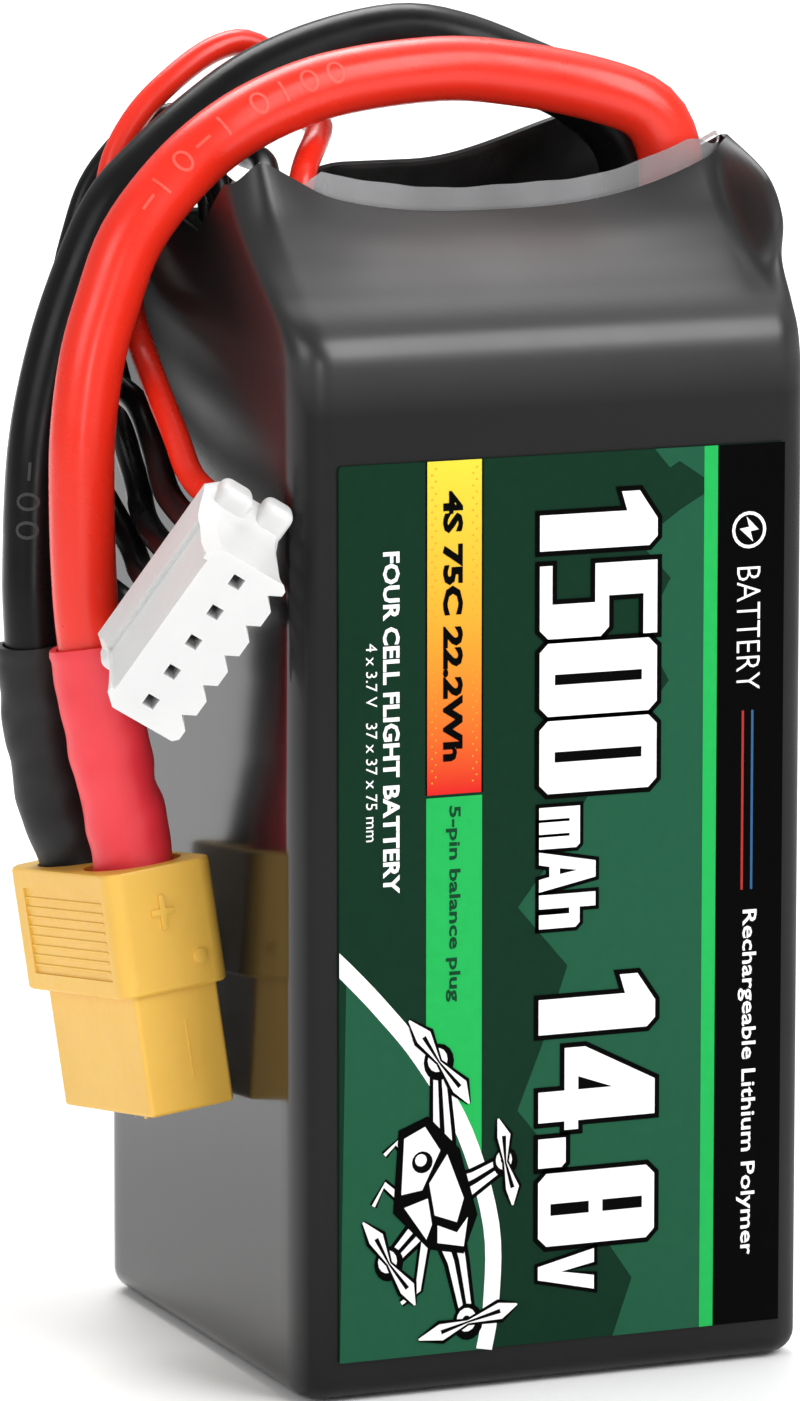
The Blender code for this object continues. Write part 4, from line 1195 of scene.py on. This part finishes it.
BLOCK_HALF = (3.15, 7.45)
BLOCK_END = -16.7
BLOCK_TOP = -8.52
BLOCK_CHAMFER = 1.5
NECK_HALF = (2.7, 6.5)
NECK_TOP = -6.0
BORE_RADIUS = 2.4


def make_plug_block(shaders):
    """The plug's insertion block: one chamfered end, two bores, a mould seam and a small foot."""
    across, wide = BLOCK_HALF
    chamfer = BLOCK_CHAMFER
    outline = ((across, -wide), (across, wide - chamfer), (across - chamfer, wide),
               (-across + chamfer, wide), (-across, wide - chamfer), (-across, -wide))
    body = prism("plug_block", outline, 2, BLOCK_END, -7.0)
    soften(body, 0.3, 4, 25)
    bake(body)
    lid = block("lid", (-5.0, -9.0, BLOCK_TOP), (5.0, 9.0, -5.0))
    combine(body, [lid], "DIFFERENCE")
    neck = block("neck", (-NECK_HALF[0], -NECK_HALF[1], -9.4), (*NECK_HALF, NECK_TOP))
    foot = block("foot", (-2.2, -4.6, BLOCK_END - 0.4), (-0.6, -2.9, BLOCK_END + 0.2))
    seam = prism("seam", ((0.35, -wide - 0.06), (0.48, -wide + 0.2), (0.22, -wide + 0.2)), 2, -14.6, -10.6)
    combine(body, [neck, foot, seam], "UNION")
    bores = contact_rods("bore", BORE_RADIUS, BLOCK_END + 0.05, -5.0)
    combine(body, bores + contact_rods("mouth", BORE_RADIUS - 0.1, -18.0, -16.0), "DIFFERENCE")
    return dress(body, shaders["plug"], "plug", plug_frame(), "power_plug_block")


HOUSING_SMOOTH = -2.75
HOUSING_TOOTH = 3.05
HOUSING_NOTCH = 2.2
HOUSING_REAR = -BALANCE_LENGTH
# Each level of the housing: z and how far its two ends reach
HOUSING_LEVELS = (
    (0.0, 6.45, 6.65), (-0.9, 6.25, 6.45), (-2.5, 6.05, 6.25), (-5.0, 6.0, 6.2),
    (-6.8, 6.1, 6.3), (-8.0, 6.5, 6.6), (-9.0, 7.0, 7.0), (HOUSING_REAR, 7.1, 7.1),
)
# Each ear's two sides in Y, its reach from the middle and its height
EARS = (("upper", -2.1, 0.3, 7.75, 2.3), ("lower", 1.0, 3.2, 8.1, 2.0))
# What is cut for each contact: half size in X and Y, and both ends in Z
CONTACT_CUTS = (
    ("pin", 0.42, 0.42, -2.4, 1.0),
    ("cavity", 0.8, 1.0, -8.6, -1.4),
    ("wire_mouth", 1.1, 1.1, HOUSING_REAR - 1, -8.4),
)


def contact_x(index):
    return (index - (BALANCE_COUNT - 1) / 2) * BALANCE_PITCH


def housing_ring(z, top_end, low_end):
    """The housing's outline at one level: smooth on one side, a tooth for each contact on the other."""
    ring = [(-top_end, -1.9), (0.75 - top_end, HOUSING_SMOOTH), (low_end - 0.75, HOUSING_SMOOTH),
            (low_end, -1.9), (low_end, HOUSING_TOOTH - 0.35), (low_end - 0.35, HOUSING_TOOTH)]
    for index in reversed(range(BALANCE_COUNT)):
        x = contact_x(index)
        last = min(x + 1.76, low_end - 0.4)
        ring += [(last, HOUSING_TOOTH), (x + 0.57, HOUSING_TOOTH), (x - 0.28, HOUSING_NOTCH)]
    ring += [(-5.74, HOUSING_TOOTH), (0.35 - top_end, HOUSING_TOOTH), (-top_end, HOUSING_TOOTH - 0.35)]
    return [(x, y, z) for x, y in ring]


def make_ears():
    """Two rounded ears at each end of the housing; those on the low end are a little shorter."""
    ears = []
    for side in (-1, 1):
        for name, near, far, reach, height in EARS:
            low, high = sorted((side * 5.6, side * (reach - 0.25 * (side > 0))))
            ear = block(f"ear_{name}_{side}", (low, near, HOUSING_REAR), (high, far, HOUSING_REAR + height))
            soften(ear, 0.6, 4)
            bake(ear)
            ears.append(ear)
    return ears


def make_balance_housing(shaders):
    """The balance plug's housing: teeth on one side, a shallow pocket on the other, cavities and ears."""
    body = stacked("balance_housing", [housing_ring(*level) for level in HOUSING_LEVELS])
    combine(body, make_ears(), "UNION")
    tools = [block("pocket", (-5.3, -4.0, -6.1), (5.5, HOUSING_SMOOTH + 0.3, 1.0))]
    for index in range(BALANCE_COUNT):
        x = contact_x(index)
        for name, half_x, half_y, low, high in CONTACT_CUTS:
            tools.append(block(f"{name}_{index}", (x - half_x, -half_y, low), (x + half_x, half_y, high)))
    combine(body, tools, "DIFFERENCE")
    soften(body, 0.16, 3, 30)
    return dress(body, shaders["nylon"], "nylon", balance_frame(), "balance_plug_housing")


# ---------------------------------------------------------------- assembly
def make_leads(shaders):
    cap = make_plug_cap(shaders)
    body = make_plug_block(shaders)
    for side, route in (("positive", POSITIVE_ROUTE), ("negative", NEGATIVE_ROUTE)):
        path = smooth_route(route, 1.0)
        finish = f"{SLEEVES[side][0]}_rubber"
        lead = add_cord(f"{side}_power_lead", path, LEAD_DIAMETER, shaders[finish], finish, f"{side}_lead")
        sleeve = make_sleeve(side, route, shaders)
        marks = make_cord_marks(side, path, shaders)


def make_balance_leads(shaders):
    housing = make_balance_housing(shaders)
    place = balance_frame()
    for index, route in enumerate(BALANCE_ROUTES):
        ends = [place @ (Vector((contact_x(index), 0.0, z)) * MM) / MM for z in WIRE_END_Z]
        path = smooth_route([*route, ends[0]], 0.7) + [ends[1]]
        finish = "red_rubber" if index == 0 else "black_rubber"
        wire = add_cord(f"balance_lead_{index + 1}", path, WIRE_DIAMETER, shaders[finish], finish,
                        f"balance_wire_{index + 1}")


# The material of each carried-over CAD node, by the start or the end of its name
FINISHES = {
    "cell_tape": "tape", "foot_pad": "foam", "connection_board": "board", "board_insulation": "paper",
    "positive_lead_": "solder", "negative_lead_": "solder", "positive_contact": "gold",
    "negative_contact": "gold", "balance_terminal": "tin",
}
TAB_FINISHES = {"positive_tab": "aluminium", "negative_tab": "nickel"}


def find_finish(name):
    for start, finish in FINISHES.items():
        if name.startswith(start):
            return finish
    for end, finish in TAB_FINISHES.items():
        if name.endswith(end):
            return finish
    return "pouch"


def dress_cad_nodes(shaders):
    """Carried-over CAD nodes get worked materials."""
    for name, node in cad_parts.items():
        if not node.hide_render:
            node.data.materials.clear()
            node.data.materials.append(shaders[find_finish(name)].material)


# ---------------------------------------------------------------- stage
FLOOR_REACH = 4.0
FLOOR_DROP = 0.2


def make_stage():
    floor = bpy.data.meshes.new("floor")
    corners = [(x * FLOOR_REACH, y * FLOOR_REACH, 0) for x, y in ((-1, -1), (1, -1), (1, 1), (-1, 1))]
    floor.from_pydata(corners, [], [(0, 1, 2, 3)])
    shader = Shader("pale_floor", (0.93, 0.93, 0.93), 0.75, Specular_IOR_Level=0.1)
    shader.tint(shader.noise(0.002, 2), (0.95, 0.95, 0.95))
    floor.materials.append(shader.material)
    item = new_object("studio_floor", floor)
    item.location.z = -FLOOR_DROP * MM


CENTRE = (0.0, 0.0, 0.05)
# Each light's place, target, size and power
LIGHTS = {
    "left": ((-0.9, -0.35, 0.55), CENTRE, 0.5, 2.7),
    "front": ((0.38, -0.84, 0.42), CENTRE, 0.3, 1.0),
    "brow": ((0.37, -0.6, 0.71), CENTRE, 0.6, 6.8),
    "ridge": ((-0.42, -0.98, 0.24), CENTRE, 0.1, 1.0),
    "overhead": ((0.37, 0.36, 0.86), CENTRE, 0.9, 2.4),
    "back": ((0.1, 0.9, 1.1), (0.1, 0.75, 0.0), 0.9, 16.0),
}
WORLD_STRENGTH = 0.37


def aim(item, place, direction):
    item.location = place
    item.rotation_mode = "QUATERNION"
    item.rotation_quaternion = direction.to_track_quat("-Z", "Y")


def make_lights():
    world = bpy.data.worlds.new("studio")
    world.use_nodes = True
    background = world.node_tree.nodes["Background"]
    background.inputs["Color"].default_value = (1, 1, 1, 1)
    background.inputs["Strength"].default_value = WORLD_STRENGTH
    bpy.context.scene.world = world
    for name, (place, target, size, power) in LIGHTS.items():
        data = bpy.data.lights.new(name, "AREA")
        data.shape = "RECTANGLE"
        data.size = size
        data.size_y = size
        data.energy = power
        aim(new_object(name, data), place, Vector(target) - Vector(place))


# The camera that was fitted to the photo: lens, the point it looks at, its turn and pitch, its distance
CAMERA_LENS = 205.6
CAMERA_TARGET = (-3.10, 1.29, 43.36)
CAMERA_TURN = 22.5
CAMERA_PITCH = 9.69
CAMERA_DISTANCE = 0.5476


def make_camera():
    data = bpy.data.cameras.new("camera")
    data.lens = CAMERA_LENS
    data.sensor_width = 36.0
    data.clip_start = 0.05
    data.clip_end = 20.0
    turn = math.radians(CAMERA_TURN)
    pitch = math.radians(CAMERA_PITCH)
    back = Vector((-math.sin(turn) * math.cos(pitch), -math.cos(turn) * math.cos(pitch), math.sin(pitch)))
    camera = new_object("camera", data)
    aim(camera, Vector(CAMERA_TARGET) * MM + back * CAMERA_DISTANCE, -back)
    bpy.context.scene.camera = camera
    bpy.context.scene.view_settings.view_transform = "Standard"


def main():
    shaders = make_shaders()
    make_camera()
    make_leads(shaders)
    make_balance_leads(shaders)
    make_wrap(shaders)
    make_film(shaders)
    make_label(shaders)
    make_print(shaders)
    dress_cad_nodes(shaders)
    make_stage()
    make_lights()


main()
